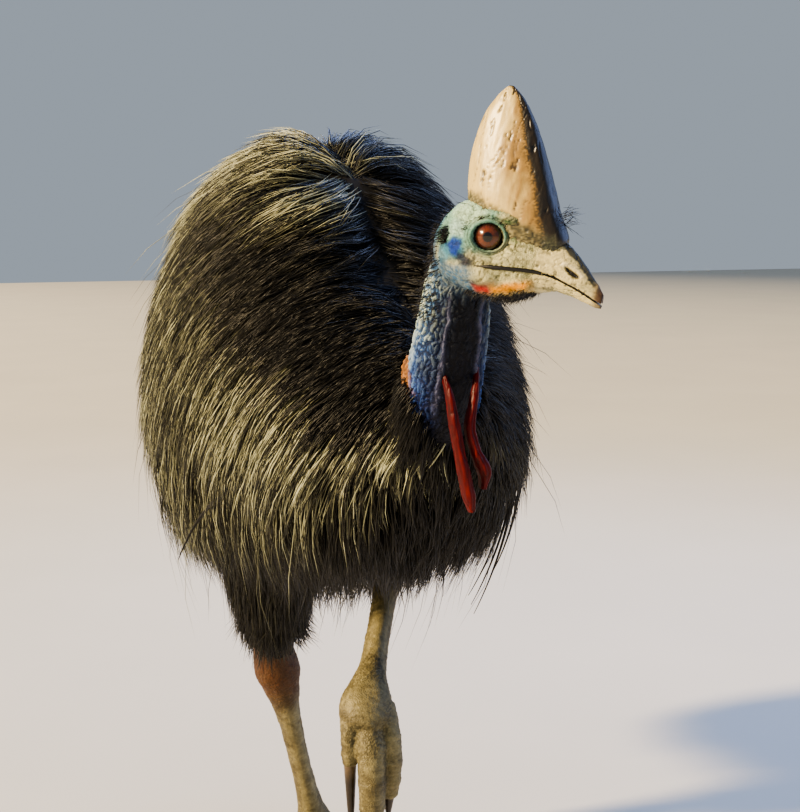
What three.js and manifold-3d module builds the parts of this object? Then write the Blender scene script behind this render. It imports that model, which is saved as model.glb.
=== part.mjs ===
// A southern cassowary at life size, in mid-stride: the right foot is planted, the left foot is lifted, and
// its toes hang. Millimetres, +Z up. The bird faces -Y and its left side is +X. The origin is on the floor,
// under the ball of the planted foot. The head has a frame of its own: +X to the bill tip, +Y to the left,
// +Z up, with its origin between the eyes.
import * as THREE from 'three';
import { mergeVertices } from 'three/addons/utils/BufferGeometryUtils.js';
import Module from 'manifold-3d';

const wasm = await Module();
wasm.setup();

// Driving dimensions
const GAP = 0.32; // between touching pieces
const BACK_HEIGHT = 1135;
const BODY_MIDLINE = 1; // the body hangs almost straight over the planted foot
const HEAD_PLACE = [-14, -760, 982]; // between the eyes
const HEAD_YAW = -49; // degrees from +X: the bird looks to its left
const HEAD_PITCH = 12; // degrees, bill down
const EYE_RADIUS = 15.5;
const EYE_SPREAD = 17.5; // from the midline to the middle of an eyeball
const BILL_TIP = 116; // from between the eyes
const BILL_ROOT = 47;
const CASQUE_HEIGHT = 138; // above the eyes
const MOUTH_GAP = 0.9;
const TAIL_ROOT = 215; // where the back plumage ends and the drooping rump begins
const BALL_HEIGHT = 34;
const SCUTE_RISE = 2.6; // of a scute's lower edge over the limb
const SCUTE_EDGE = 0.004; // the step down from it, as a share of the limb's length
const SCUTE_FRONT = [-0.2, 0.4]; // scutes fade out round the sides, between these shares of the half depth
const SOLE_FLAT = 3; // how far the planted pads are pressed flat
const TOE = { inner: 92, middle: 150, outer: 112 };
const TOE_ROOTS = 14; // sideways from the ball of the foot
const CLAW = { inner: 88, middle: 44, outer: 38 };
const CLAW_HALF = 8;
const QUILL_SHARES = [0.74, 1, 0.92, 0.84]; // of the longest quill

const radians = THREE.MathUtils.degToRad;
const vector = (...values) => new THREE.Vector3(...values);
const X_WAY = [1, 0, 0];

// A closed geometry as a solid that can be joined and cut.
function solidOf(geometry) {
  const bare = geometry.clone();
  for (const name of Object.keys(bare.attributes)) {
    if (name !== 'position') bare.deleteAttribute(name);
  }
  const merged = mergeVertices(bare, 1e-4);
  return new wasm.Manifold(
    new wasm.Mesh({
      numProp: 3,
      vertProperties: merged.attributes.position.array,
      triVerts: new Uint32Array(merged.index.array),
    }),
  );
}

function geometryOf(solid) {
  const { vertProperties, triVerts } = solid.getMesh();
  const geometry = new THREE.BufferGeometry();
  geometry.setAttribute('position', new THREE.BufferAttribute(vertProperties, 3));
  geometry.setIndex(new THREE.BufferAttribute(triVerts, 1));
  const faceted = geometry.toNonIndexed();
  faceted.computeVertexNormals();
  return faceted;
}

const join = (...solids) => solids.reduce((whole, solid) => whole.add(solid));
const clearOf = (solid, ...others) => others.reduce((left, other) => left.subtract(other), solid);

function largest(solid) {
  return solid.decompose().reduce((best, piece) => (piece.volume() > best.volume() ? piece : best));
}

// The rings of a limb, as shares of its length, each with how far its front stands proud there
const plainRings = (...shares) => shares.map((at) => ({ at, proud: 0 }));
const evenRings = (count) => plainRings(...Array.from({ length: count + 1 }, (_, i) => i / count));

// Scutes between two shares of a limb. Each rises to its lower edge, which stands over the next one.
function scuteRings({ from, to, count }) {
  const step = (to - from) / count;
  const starts = Array.from({ length: count }, (_, k) => from + k * step + SCUTE_EDGE);
  const lows = plainRings(...starts, to + SCUTE_EDGE);
  return [...lows, ...starts.map((at) => ({ at: at + step - SCUTE_EDGE, proud: SCUTE_RISE }))];
}

// A smooth round limb through its stops, each [x, y, z, half width, half depth], its half width along `side`.
// Its rings stand square to its own line, or all face one way where `facing` is given.
function limb(stops, { sides = 12, rings = evenRings(12), side = X_WAY, facing, grow = 0, section } = {}) {
  const centres = new THREE.CatmullRomCurve3(stops.map(([x, y, z]) => vector(x, y, z)));
  const halves = new THREE.CatmullRomCurve3(stops.map(([, , , w, d]) => vector(w, d ?? w, 0)));
  const placed = [...rings].sort((a, b) => a.at - b.at);
  const last = placed.length - 1;
  const geometry = new THREE.CylinderGeometry(1, 1, 1, sides, last);
  const position = geometry.getAttribute('position');
  for (let i = 0; i < position.count; i++) {
    const { at: along, proud } = placed[Math.round((0.5 - position.getY(i)) * last)];
    const round = [position.getX(i), position.getZ(i)];
    const [c, s] = section ? section(...round, along) : round;
    const ahead = facing ? vector(...facing) : centres.getTangent(along);
    const across = vector(...side).projectOnPlane(ahead).normalize();
    const deep = ahead.clone().cross(across);
    const half = halves.getPoint(along);
    const point = centres.getPoint(along).addScaledVector(ahead, { 0: -grow, 1: grow }[along] ?? 0);
    const out = grow + proud * THREE.MathUtils.smoothstep(s, ...SCUTE_FRONT);
    point.addScaledVector(across, c * (Math.max(half.x, GAP) + out));
    point.addScaledVector(deep, s * (Math.max(half.y, GAP) + out));
    position.setXYZ(i, point.x, point.y, point.z);
  }
  return geometry;
}

// A scuted limb, or one grown past its scutes with no steps in it, for its neighbours to be cut by
function scutedLimb(stops, { rings, grow, ...options }) {
  if (grow === 0) return solidOf(limb(stops, { rings, ...options }));
  const lowRings = rings.filter(({ proud }) => proud === 0);
  return solidOf(limb(stops, { rings: lowRings, grow: grow + SCUTE_RISE, ...options }));
}

function ball([x, y, z], [rx, ry, rz], grow = 0, across = 12, down = 8) {
  return new THREE.SphereGeometry(1, across, down).scale(rx + grow, ry + grow, rz + grow).translate(x, y, z);
}

// Materials
const matte = (color, roughness) => new THREE.MeshStandardMaterial({ color, roughness, metalness: 0 });
const plumage = matte(0x16120f, 0.55);
const faceSkin = matte(0x8fb5a8, 0.6);
const neckSkin = matte(0x2b4a9a, 0.6);
const wattleSkin = matte(0xb3212a, 0.55);
const casqueHorn = matte(0xb8a88c, 0.5);
const billHorn = matte(0xa39c84, 0.5);
const legScale = matte(0x8a7f5c, 0.6);
const clawHorn = matte(0x2a2622, 0.4);
const quillHorn = matte(0x14110f, 0.35);
const eyeWet = matte(0x5a2410, 0.1);

// Locks vary in place, length and width by draws from one seeded row of numbers
let seed = 20;
function draw(low, high) {
  seed = (seed * 1664525 + 1013904223) % 4294967296;
  return low + ((high - low) * seed) / 4294967296;
}

// A flat, tapered lock through its points, each with the way out of the coat there, and widest near its root
const LOCK_TAPER = [0.6, 1, 0.85, 0.08];
function lock({ points, outs, half, thick }, grow = 0) {
  const last = points.length - 1;
  const geometry = new THREE.CylinderGeometry(1, 1, 1, 4, last);
  const position = geometry.getAttribute('position');
  for (let i = 0; i < position.count; i++) {
    const ring = Math.round((0.5 - position.getY(i)) * last);
    const ahead = points[Math.min(ring + 1, last)].clone().sub(points[Math.max(ring - 1, 0)]).normalize();
    const across = ahead.clone().cross(outs[ring]).normalize();
    const lift = ahead.clone().cross(across);
    const point = points[ring].clone();
    point.addScaledVector(across, position.getX(i) * (half * LOCK_TAPER[ring] + grow));
    point.addScaledVector(lift, position.getZ(i) * (Math.max(thick * LOCK_TAPER[ring], 0.6) + grow));
    position.setXYZ(i, point.x, point.y, point.z);
  }
  return solidOf(geometry);
}

const bird = new THREE.Group();
const head = new THREE.Group();
head.position.set(...HEAD_PLACE);
head.rotation.set(0, radians(HEAD_PITCH), radians(HEAD_YAW), 'ZYX');
head.updateMatrix();
bird.add(head);

function addNode(parent, name, material, solid) {
  const mesh = new THREE.Mesh(geometryOf(largest(solid)), material);
  mesh.name = name;
  parent.add(mesh);
}

const fromHead = (solid) => solid.transform(head.matrix.toArray());

// Torso: stops from the collar to the rump, at the outside of the plumage, as [y, back, belly, half width]
const TORSO_LINE = [
  [-650, 828, 748, 30],
  [-622, 858, 712, 58],
  [-580, 880, 665, 88],
  [-530, 898, 615, 124],
  [-456, 932, 560, 170],
  [-356, 1003, 530, 205],
  [-250, 1090, 500, 235],
  [-140, BACK_HEIGHT, 465, 250],
  [-20, 1134, 448, 253],
  [100, 1122, 432, 247],
  [195, 1090, 422, 230],
  [265, 1020, 424, 200],
  [320, 915, 440, 155],
  [358, 790, 485, 100],
  [382, 660, 560, 34],
];
// The core lies about half way from the tips of the plumage to the skin, and well up under the belly's skirt
const CORE_DEPTH = { back: 26, belly: 112, flank: 38 };
const CORE_ENDS = { rump: 0.9, collar: 0.985 }; // the core's reach, as shares of the plumage's
const LEAST_CORE = 0.74; // of the plumage's own half size, where the torso narrows to its ends
const HAYRICK = 0.14; // the back is narrower than the belly by this share of the half width
const FULL_RUMP = 0.22; // how much squarer the section is at the rump than at the breast

const OUTSIDE_STOPS = TORSO_LINE.map(([y, back, belly, half]) => {
  const tall = (back - belly) / 2;
  return [BODY_MIDLINE, y, back - tall, half, tall];
});
const CORE_STOPS = OUTSIDE_STOPS.map(([x, y, middle, half, tall]) => {
  const coreTall = Math.max(tall - (CORE_DEPTH.back + CORE_DEPTH.belly) / 2, tall * LEAST_CORE);
  const inset = Math.min(CORE_DEPTH.back, tall - coreTall);
  const coreHalf = Math.max(half - CORE_DEPTH.flank, half * LEAST_CORE);
  const coreY = y * (y > 0 ? CORE_ENDS.rump : CORE_ENDS.collar);
  return [x, coreY, middle + tall - inset - coreTall, coreHalf, coreTall];
});

function core(grow = 0) {
  const section = (c, s, along) => {
    const full = Math.sign(c) * Math.abs(c) ** (1 - FULL_RUMP * along);
    return [full * (1 + HAYRICK * s), s];
  };
  return solidOf(limb(CORE_STOPS, { sides: 20, rings: evenRings(15), facing: [0, 1, 0], grow, section }));
}

// Neck: from inside the head down to the breast
const NECK_STOPS = [
  [-33, -732, 975, 26, 27],
  [-32, -712, 950, 29, 30],
  [-29, -686, 898, 32, 34],
  [-23, -646, 833, 36, 41],
  [-13, -603, 785, 39, 42],
  [-4, -548, 748, 36, 38],
];
const neck = (grow = 0) => solidOf(limb(NECK_STOPS, { sides: 14, rings: evenRings(12), grow }));

// Skull and jaws, as [x, top, bottom, half width] from the nape to the bill tip
const HEAD_LINE = [
  [-61, -8, -26, 9],
  [-55, 8, -40, 20],
  [-42, 24, -52, 28],
  [-22, 33, -57, 32],
  [0, 32, -58, 32],
  [20, 25, -57, 28],
  [36, 18, -54, 23],
  [50, 13, -45, 18],
  [68, 10, -39, 13.5],
  [83, 0, -39, 11],
  [97, -12, -41, 8.5],
  [110, -23.5, -44, 5.5],
  [BILL_TIP, -31, -44, 2.5],
];
const skull = (grow = 0) =>
  solidOf(
    limb(
      HEAD_LINE.map(([x, top, bottom, half]) => [x, 0, (top + bottom) / 2, half, (top - bottom) / 2]),
      { sides: 16, rings: evenRings(20), side: [0, 1, 0], grow },
    ),
  );

// The line of the mouth, from its corner to past the bill tip
const MOUTH_LINE = [
  [-5, -29],
  [9, -27],
  [28, -25],
  [50, -23],
  [68, -24.5],
  [82, -28],
  [97, -32.5],
  [112, -38.5],
  [125, -44],
];
const MOUTH_REACH = 60; // the slit is cut from this far to the left to this far to the right
function mouthSlit() {
  const line = new THREE.SplineCurve(MOUTH_LINE.map(([x, z]) => new THREE.Vector2(x, z))).getPoints(9);
  const upper = line.map(({ x, y }) => new THREE.Vector2(x, y + MOUTH_GAP / 2));
  const lower = line.map(({ x, y }) => new THREE.Vector2(x, y - MOUTH_GAP / 2)).reverse();
  const shape = new THREE.Shape([...upper, ...lower]);
  const slit = new THREE.ExtrudeGeometry(shape, { depth: 2 * MOUTH_REACH, bevelEnabled: false });
  return solidOf(slit.translate(0, 0, -MOUTH_REACH).rotateX(Math.PI / 2));
}

const eyeball = (side, grow = 0) =>
  solidOf(ball([0, side * EYE_SPREAD, 0], [EYE_RADIUS, EYE_RADIUS, EYE_RADIUS], grow, 12, 8));

// Casque, as [z, rear x, front x, half thickness] from its root in the skull to the tip
const CASQUE_LINE = [
  [-6, -14, 50, 20],
  [11, -31, 68, 24],
  [34, -36, 57, 23],
  [62, -39, 42.5, 19],
  [87, -38, 28.5, 14.5],
  [110, -33.5, 15, 10],
  [126, -27, 3, 6],
  [134, -21, -6, 3.5],
  [CASQUE_HEIGHT, -17, -12, 1.5],
];
const casque = () =>
  solidOf(
    limb(
      CASQUE_LINE.map(([z, rear, front, half]) => [(rear + front) / 2, 0, z, (front - rear) / 2, half]),
      { sides: 16, rings: evenRings(13) },
    ),
  );

const LID = { ring: 14.2, tube: 2.6, out: 11.2 };
const lids = (side) =>
  solidOf(
    new THREE.TorusGeometry(LID.ring, LID.tube, 6, 16)
      .rotateX(Math.PI / 2)
      .translate(0, side * (EYE_SPREAD + LID.out), 0),
  );

const nostril = (side) => solidOf(ball([84, side * 11, -15.5], [5.5, 4, 2.2], 0, 8, 6));
const earHole = (side) => solidOf(ball([-34, side * 30, -24], [5, 7, 6], 0, 8, 6));

const wholeHead = clearOf(
  join(skull(), lids(1), lids(-1)),
  mouthSlit(),
  nostril(1),
  nostril(-1),
  earHole(1),
  earHole(-1),
  eyeball(1, GAP),
  eyeball(-1, GAP),
);

// The horny bill starts at a cut across the skull, and the slit parts it into two
const face = wholeHead.trimByPlane([-1, 0, 0], -BILL_ROOT);
const middleHeight = (solid) => (solid.boundingBox().min[2] + solid.boundingBox().max[2]) / 2;
const [billUpper, billLower] = wholeHead
  .trimByPlane([1, 0, 0], BILL_ROOT + GAP)
  .decompose()
  .sort((a, b) => b.volume() - a.volume())
  .slice(0, 2)
  .sort((a, b) => middleHeight(b) - middleHeight(a));

const casqueClear = clearOf(casque(), skull(GAP), eyeball(1, GAP), eyeball(-1, GAP));
addNode(head, 'head', faceSkin, face);
addNode(head, 'bill_upper', billHorn, billUpper);
addNode(head, 'bill_lower', billHorn, billLower);
addNode(head, 'casque', casqueHorn, casqueClear);
for (const [side, name] of [[1, 'left'], [-1, 'right']]) {
  addNode(head, `eye_${name}`, eyeWet, eyeball(side));
}

addNode(bird, 'neck', neckSkin, clearOf(neck(), core(GAP), fromHead(skull(GAP))));

// Wattles: two flat folds that hang from the front of the neck
const WATTLE_STOPS = {
  right: [
    [-29, -665, 841, 5, 8],
    [-31, -685, 813, 5.5, 9],
    [-30, -690, 780, 6, 9],
    [-24, -693, 741, 7, 10],
    [-17, -696, 716, 6.5, 9],
    [-14, -697, 700, 3, 5],
  ],
  left: [
    [-7, -665, 840, 5, 8],
    [-8, -683, 816, 5.5, 9],
    [-15, -691, 784, 5.5, 9],
    [-8, -693, 760, 6.5, 10],
    [-2, -696, 740, 6, 9],
    [-3, -695, 724, 3, 5],
  ],
};
for (const [name, stops] of Object.entries(WATTLE_STOPS)) {
  const wattle = solidOf(limb(stops, { sides: 8, rings: evenRings(9) }));
  addNode(bird, `wattle_${name}`, wattleSkin, clearOf(wattle, neck(GAP), core(GAP)));
}

// Legs. Each toe runs out from the ball of the foot in four bones. The planted toes lie on the floor, and the
// lifted ones dip by the given angles, in degrees, as each claw does from its root to its tip.
const PLANTED = {
  ball: [0, 0, BALL_HEIGHT],
  flat: true,
  dips: [12, 0, 0, 0],
  clawDips: [2, 8],
  spread: 31,
  heading: -90,
};
const LIFTED = {
  ball: [-45, -430, 402],
  flat: false,
  dips: [62, 84, 97, 104],
  clawDips: [100, 86],
  spread: 9,
  heading: -78,
};
const HOCK = { right: [-70, -46, 330], left: [69, -196, 542] };
const TOE_SIDES = { inner: 1, middle: 0, outer: -1 };
const TOE_HALVES = {
  inner: [17, 15.5, 14.5, 14, 12],
  middle: [20, 18, 17, 16, 13.5],
  outer: [17, 15, 14, 13.5, 11.5],
};
const TOE_RINGS = plainRings(0, 0.12, 0.24, 1);
const TOE_SCUTES = { from: 0.34, to: 0.95, counts: { inner: 3, middle: 5, outer: 4 } };
const BONE_SHARES = [0.34, 0.27, 0.22, 0.17];

function toePath(foot, mirror, toe) {
  const turn = radians(foot.heading + mirror * TOE_SIDES[toe] * foot.spread);
  const point = vector(...foot.ball);
  point.x += mirror * TOE_SIDES[toe] * TOE_ROOTS;
  const path = [point.clone()];
  foot.dips.forEach((dip, i) => {
    const bone = TOE[toe] * BONE_SHARES[i];
    const level = Math.cos(radians(dip)) * bone;
    point.add(vector(Math.cos(turn) * level, Math.sin(turn) * level, -Math.sin(radians(dip)) * bone));
    if (foot.flat) point.z = TOE_HALVES[toe][i + 1] - SOLE_FLAT;
    path.push(point.clone());
  });
  return { path, side: [-Math.sin(turn), Math.cos(turn), 0], turn };
}

function toeSolid(foot, mirror, toe, grow = 0) {
  const { path, side } = toePath(foot, mirror, toe);
  const stops = path.map((p, i) => [p.x, p.y, p.z, TOE_HALVES[toe][i], TOE_HALVES[toe][i]]);
  const scutes = scuteRings({ ...TOE_SCUTES, count: TOE_SCUTES.counts[toe] });
  return scutedLimb(stops, { sides: 7, rings: [...TOE_RINGS, ...scutes], side, grow });
}

function clawSolid(foot, mirror, toe) {
  const { path, side, turn } = toePath(foot, mirror, toe);
  const point = path.at(-1).clone();
  const [start, end] = foot.clawDips.map(radians);
  const steps = 4;
  const root = point.clone().lerp(path.at(-2), 0.6);
  const stops = [[root.x, root.y, root.z, CLAW_HALF]];
  for (let i = 0; i <= steps; i++) {
    stops.push([point.x, point.y, point.z, CLAW_HALF * (1 - i / steps) ** 0.7 + 0.8]);
    const dip = start + ((end - start) * i) / steps;
    const bone = CLAW[toe] / steps;
    const level = Math.cos(dip) * bone;
    point.add(vector(Math.cos(turn) * level, Math.sin(turn) * level, -Math.sin(dip) * bone));
  }
  return solidOf(limb(stops, { sides: 6, rings: evenRings(6), side }));
}

// Shank, from inside the thigh down to the ball of the foot, as [share of the way up, half width, half depth]
const SHANK_LINE = [
  [1.13, 26, 30],
  [1, 35, 37],
  [0.88, 27, 32],
  [0.7, 18, 25],
  [0.4, 16, 22],
  [0.18, 20, 22],
  [0.02, 33, 27],
  [-0.06, 30, 24],
  [-0.12, 16, 13],
];
const SHANK_SCUTES = { from: 0.27, to: 0.73, count: 9 };
const SHANK_RINGS = plainRings(0, 0.08, 0.16, 0.22, 0.78, 0.84, 0.9, 0.95, 1);
function tarsusSolid(foot, hock, grow = 0) {
  const top = vector(...hock);
  const end = vector(...foot.ball);
  const placed = ([share, ...halves]) => [...end.clone().lerp(top, share).toArray(), ...halves];
  const stops = SHANK_LINE.map(placed);
  return scutedLimb(stops, { sides: 10, rings: [...SHANK_RINGS, ...scuteRings(SHANK_SCUTES)], grow });
}

const THIGH = {
  right: [
    [-79, -120, 670, 90, 120],
    [-86, -100, 570, 85, 110],
    [-84, -80, 470, 66, 80],
    [-78, -58, 400, 46, 56],
    [-72, -48, 355, 34, 40],
  ],
  left: [
    [71, -160, 720, 80, 110],
    [75, -180, 650, 62, 80],
    [71, -192, 590, 44, 52],
    [69, -196, 565, 36, 42],
  ],
};
const thigh = (name, grow = 0) => solidOf(limb(THIGH[name], { sides: 14, rings: evenRings(9), grow }));

// Locks round the lower thigh, in tiers of [share of the way down, number, length], which hang over the hock
const THIGH_TIERS = {
  right: [[0.42, 5, 150], [0.68, 5, 125]],
  left: [[0.3, 5, 110]],
};
const THIGH_LOCK = { half: 30, thick: 6, sunk: 8, flare: 9, zone: 17 };
const THIGH_ZONE_TOP = { right: 500, left: 610 }; // below it the thigh's own locks need room
function thighLocks(name) {
  const stops = THIGH[name];
  const centres = new THREE.CatmullRomCurve3(stops.map(([x, y, z]) => vector(x, y, z)));
  const halves = new THREE.CatmullRomCurve3(stops.map(([, , , w, d]) => vector(w, d, 0)));
  return THIGH_TIERS[name].flatMap(([share, count, length]) =>
    Array.from({ length: count }, (_, k) => {
      const turn = ((k + share * 2 + draw(-0.15, 0.15)) / count) * 2 * Math.PI;
      const long = length * draw(0.85, 1.1);
      const points = [];
      const outs = [];
      for (let i = 0; i < LOCK_TAPER.length; i++) {
        const down = (i / (LOCK_TAPER.length - 1)) * long;
        const along = Math.min(share + down / centres.getLength(), 1);
        const centre = centres.getPointAt(along);
        const half = halves.getPoint(along);
        const out = THREE.MathUtils.lerp(-THIGH_LOCK.sunk, THIGH_LOCK.flare, Math.min(i / 2, 1));
        const way = vector(Math.cos(turn), Math.sin(turn), 0);
        const over = Math.max(share * centres.getLength() + down - centres.getLength(), 0);
        points.push(centre.add(vector(way.x * (half.x + out), way.y * (half.y + out), -over)));
        outs.push(way);
      }
      return lock({ points, outs, half: THIGH_LOCK.half * draw(0.85, 1.15), thick: THIGH_LOCK.thick });
    }),
  );
}

const aboveFloor = (solid) => solid.trimByPlane([0, 0, 1], 0);
for (const [name, foot, mirror] of [['right', PLANTED, 1], ['left', LIFTED, -1]]) {
  const trim = foot.flat ? aboveFloor : (solid) => solid;
  const shank = tarsusSolid(foot, HOCK[name], GAP);
  const tarsus = clearOf(tarsusSolid(foot, HOCK[name]), thigh(name, GAP), core(GAP));
  const feathered = clearOf(join(thigh(name), clearOf(join(...thighLocks(name)), shank)), core(GAP));
  addNode(bird, `thigh_${name}`, plumage, feathered);
  addNode(bird, `tarsus_${name}`, legScale, trim(tarsus));
  const laid = [shank];
  for (const toe of ['middle', 'inner', 'outer']) {
    const toeClear = clearOf(toeSolid(foot, mirror, toe), ...laid);
    laid.push(toeSolid(foot, mirror, toe, GAP));
    const clawClear = clearOf(clawSolid(foot, mirror, toe), ...laid);
    addNode(bird, `toe_${toe}_${name}`, legScale, trim(toeClear));
    addNode(bird, `claw_${toe}_${name}`, clawHorn, trim(clawClear));
  }
}

// How far out a point lies: 1 on the core at share 0, and 1 on the outside of the coat at share 1
function sectionAt(stops, y) {
  const next = THREE.MathUtils.clamp(stops.findIndex((stop) => stop[1] > y), 1, stops.length - 1);
  const [before, after] = [stops[next - 1], stops[next]];
  const share = THREE.MathUtils.clamp((y - before[1]) / (after[1] - before[1]), -1, 1);
  return [2, 3, 4].map((n) => THREE.MathUtils.lerp(before[n], after[n], share));
}
function reachOf(stops, point) {
  const y = Math.min(point.y, stops.at(-1)[1] - 1);
  const [middle, half, tall] = sectionAt(stops, y);
  const along = THREE.MathUtils.clamp((y - stops[0][1]) / (stops.at(-1)[1] - stops[0][1]), 0, 1);
  const low = (middle - point.z) / tall;
  const widest = half * (1 + HAYRICK * THREE.MathUtils.clamp(low, -1, 1));
  return Math.hypot(low, (Math.abs(point.x - BODY_MIDLINE) / widest) ** (1 / (1 - FULL_RUMP * along)));
}
const reach = (point, share) =>
  THREE.MathUtils.lerp(reachOf(CORE_STOPS, point), reachOf(OUTSIDE_STOPS, point), share);

// The way out of the coat at a point, and how much the reach grows for each millimetre that way
function outOf(point, share) {
  const rise = (...way) => reach(point.clone().add(vector(...way)), share) - reach(point, share);
  const slope = vector(rise(1, 0, 0), rise(0, 1, 0), rise(0, 0, 1));
  return { out: slope.clone().normalize(), slope: slope.length() };
}
const SHELL_STEPS = 3;
const SHELL_STRIDE = 60; // the most that a point moves in one step
function onShell(point, share) {
  for (let i = 0; i < SHELL_STEPS; i++) {
    const { out, slope } = outOf(point, share);
    const miss = (1 - reach(point, share)) / slope;
    point.addScaledVector(out, THREE.MathUtils.clamp(miss, -SHELL_STRIDE, SHELL_STRIDE));
  }
  point.y = Math.min(point.y, COAT_END);
  return outOf(point, share).out;
}

// The coat lies outwards from the middle of the back, backwards and down, and hangs like a skirt below the
// flanks. Rows of roots run from the collar to the rump, each at an angle from the top, with their spacing.
const LIE = { outwards: 0.46, backwards: 0.72, down: 0.95, parting: 40, sway: 0.12 };
const HANG = { from: 100, inwards: 0.1, backwards: 0.34, down: 0.94, sunk: 26, past: 1.04, stride: 5 };
const LEAST_WIDE = 150; // a short hanging lock is as wide as one of this length
const RIDGE = { angle: 0, spacing: 100, front: -500, rear: 225 };
const ROWS = [
  { angle: 24, spacing: 116, front: -560, rear: 290 },
  { angle: 51, spacing: 116, front: -600, rear: 290 },
  { angle: 78, spacing: 112, front: -600, rear: 300 },
  { angle: 104, spacing: 106, front: -634, rear: 300 },
  { angle: 130, spacing: 104, front: -634, rear: 318 },
  { angle: 158, spacing: 140, front: -634, rear: 290 },
];
const RUMP = { y: 322, angles: [18, 56, 94] }; // a last ring of locks, which hide the end of the core
const COAT_END = 376; // no lock reaches further back
const LOCK = { long: 245, short: 90, slim: 1.25, half: 0.21, thick: 9 };
const LIFT = { root: -0.35, tip: 1.04, ridge: 0.85, power: 2.6 }; // above the core, in coat depths
const STRAY = { place: 10, angle: 4, long: 0.12, wide: 0.15 };
const STEPS = LOCK_TAPER.length - 1;

// A lock that follows the body out and round, from its root in the core to its tip on the outside
function lyingLock(side, root, angle, long, wide) {
  const outwards = side * LIE.outwards * THREE.MathUtils.smoothstep(angle, -LIE.parting / 2, LIE.parting);
  const lie = vector(outwards, LIE.backwards, -LIE.down);
  lie.applyAxisAngle(vector(1, 0, 0), draw(-LIE.sway, LIE.sway));
  const tipShare = angle < LIE.parting / 4 ? LIFT.ridge : LIFT.tip;
  const point = root.clone();
  const points = [];
  const outs = [];
  for (let i = 0; i <= STEPS; i++) {
    const lift = 1 - (1 - i / STEPS) ** LIFT.power;
    const out = onShell(point, THREE.MathUtils.lerp(LIFT.root, tipShare, lift));
    points.push(point.clone());
    outs.push(out);
    point.addScaledVector(lie.clone().projectOnPlane(out).normalize(), long / STEPS);
  }
  return { points, outs, half: long * wide, thick: LOCK.thick };
}

// A lock that hangs almost straight from under the flank, down to the skirt's edge
function hangingLock(side, root, long, wide) {
  const out = onShell(root, 0);
  const sway = draw(-LIE.sway, LIE.sway);
  const fall = vector(-side * HANG.inwards, HANG.backwards + sway, -HANG.down).normalize();
  let length = LOCK.short;
  while (length < long && reachOf(OUTSIDE_STOPS, root.clone().addScaledVector(fall, length)) < HANG.past) {
    length += HANG.stride;
  }
  const start = root.clone().addScaledVector(fall, -HANG.sunk);
  const tip = root.clone().addScaledVector(fall, length);
  const points = LOCK_TAPER.map((_, i) => start.clone().lerp(tip, i / STEPS));
  const flat = vector(side, 0, 0).addScaledVector(out, 0.6).normalize();
  const half = Math.max(length, LEAST_WIDE) * wide;
  return { points, outs: points.map(() => flat), half, thick: LOCK.thick };
}

function coatLock(side, y, angle) {
  const [middle, half, tall] = sectionAt(CORE_STOPS, y);
  const turn = radians(angle);
  const root = vector(BODY_MIDLINE + side * Math.sin(turn) * half, y, middle + Math.cos(turn) * tall);
  const usual = THREE.MathUtils.clamp(half * LOCK.slim, LOCK.short, LOCK.long);
  const long = usual * draw(1 - STRAY.long, 1 + STRAY.long);
  const wide = LOCK.half * draw(1 - STRAY.wide, 1 + STRAY.wide);
  return angle > HANG.from ? hangingLock(side, root, long, wide) : lyingLock(side, root, angle, long, wide);
}
function row(side, { angle, spacing, front, rear }, shift = 0) {
  const first = front + (shift + draw(0, 0.2)) * spacing;
  const count = Math.floor((rear - first) / spacing) + 1;
  return Array.from({ length: count }, (_, i) => {
    const y = first + i * spacing + draw(-STRAY.place, STRAY.place);
    return coatLock(side, y, angle + draw(-STRAY.angle, STRAY.angle));
  });
}
const coat = [
  ...row(1, RIDGE),
  ...[1, -1].flatMap((side) => ROWS.flatMap((place, i) => row(side, place, (i % 2) / 2))),
  ...[1, -1].flatMap((side) => RUMP.angles.map((angle) => coatLock(side, RUMP.y, angle))),
];

// Wings: a small stump on each flank, as [side, y, z, half, half], with a fan of bare quills that hang back
const WING_STUMP = [
  [128, -405, 752, 14, 22],
  [166, -403, 722, 15, 24],
  [190, -397, 690, 12, 20],
  [195, -391, 666, 6, 10],
];
const QUILL_ROOT = [190, -398, 682];
const QUILL_TIPS = { left: [134, -341, 477], right: [-233, -172, 541] };
const QUILL_BOW = { left: [16, -4, -8], right: [-24, -14, 22] };
const QUILL_SPREAD = [-5, 9, -5]; // from one quill's tip to the next
const QUILL_ROOTS = [0, 7, -4]; // from one quill's root to the next
const QUILL_HALVES = [3, 2.6, 0.8];
function wing(side, name, grow = 0) {
  const stump = limb(
    WING_STUMP.map(([x, y, z, ...halves]) => [BODY_MIDLINE + side * x, y, z, ...halves]),
    { sides: 6, rings: evenRings(4), grow },
  );
  const root = vector(BODY_MIDLINE + side * QUILL_ROOT[0], QUILL_ROOT[1], QUILL_ROOT[2]);
  const quills = QUILL_SHARES.map((share, i) => {
    const start = root.clone().addScaledVector(vector(...QUILL_ROOTS), i - 1.5);
    const tip = start.clone().lerp(vector(...QUILL_TIPS[name]), share);
    tip.addScaledVector(vector(...QUILL_SPREAD), i - 1);
    const bend = start.clone().lerp(tip, 0.5).add(vector(...QUILL_BOW[name]));
    const stops = [start, bend, tip].map((p, k) => [...p.toArray(), QUILL_HALVES[k]]);
    return solidOf(limb(stops, { sides: 4, rings: evenRings(3), grow }));
  });
  return join(solidOf(stump), ...quills);
}
for (const [side, name] of [[1, 'left'], [-1, 'right']]) {
  addNode(bird, `wing_${name}`, quillHorn, clearOf(wing(side, name), core(GAP), thigh(name, GAP)));
}

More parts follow.
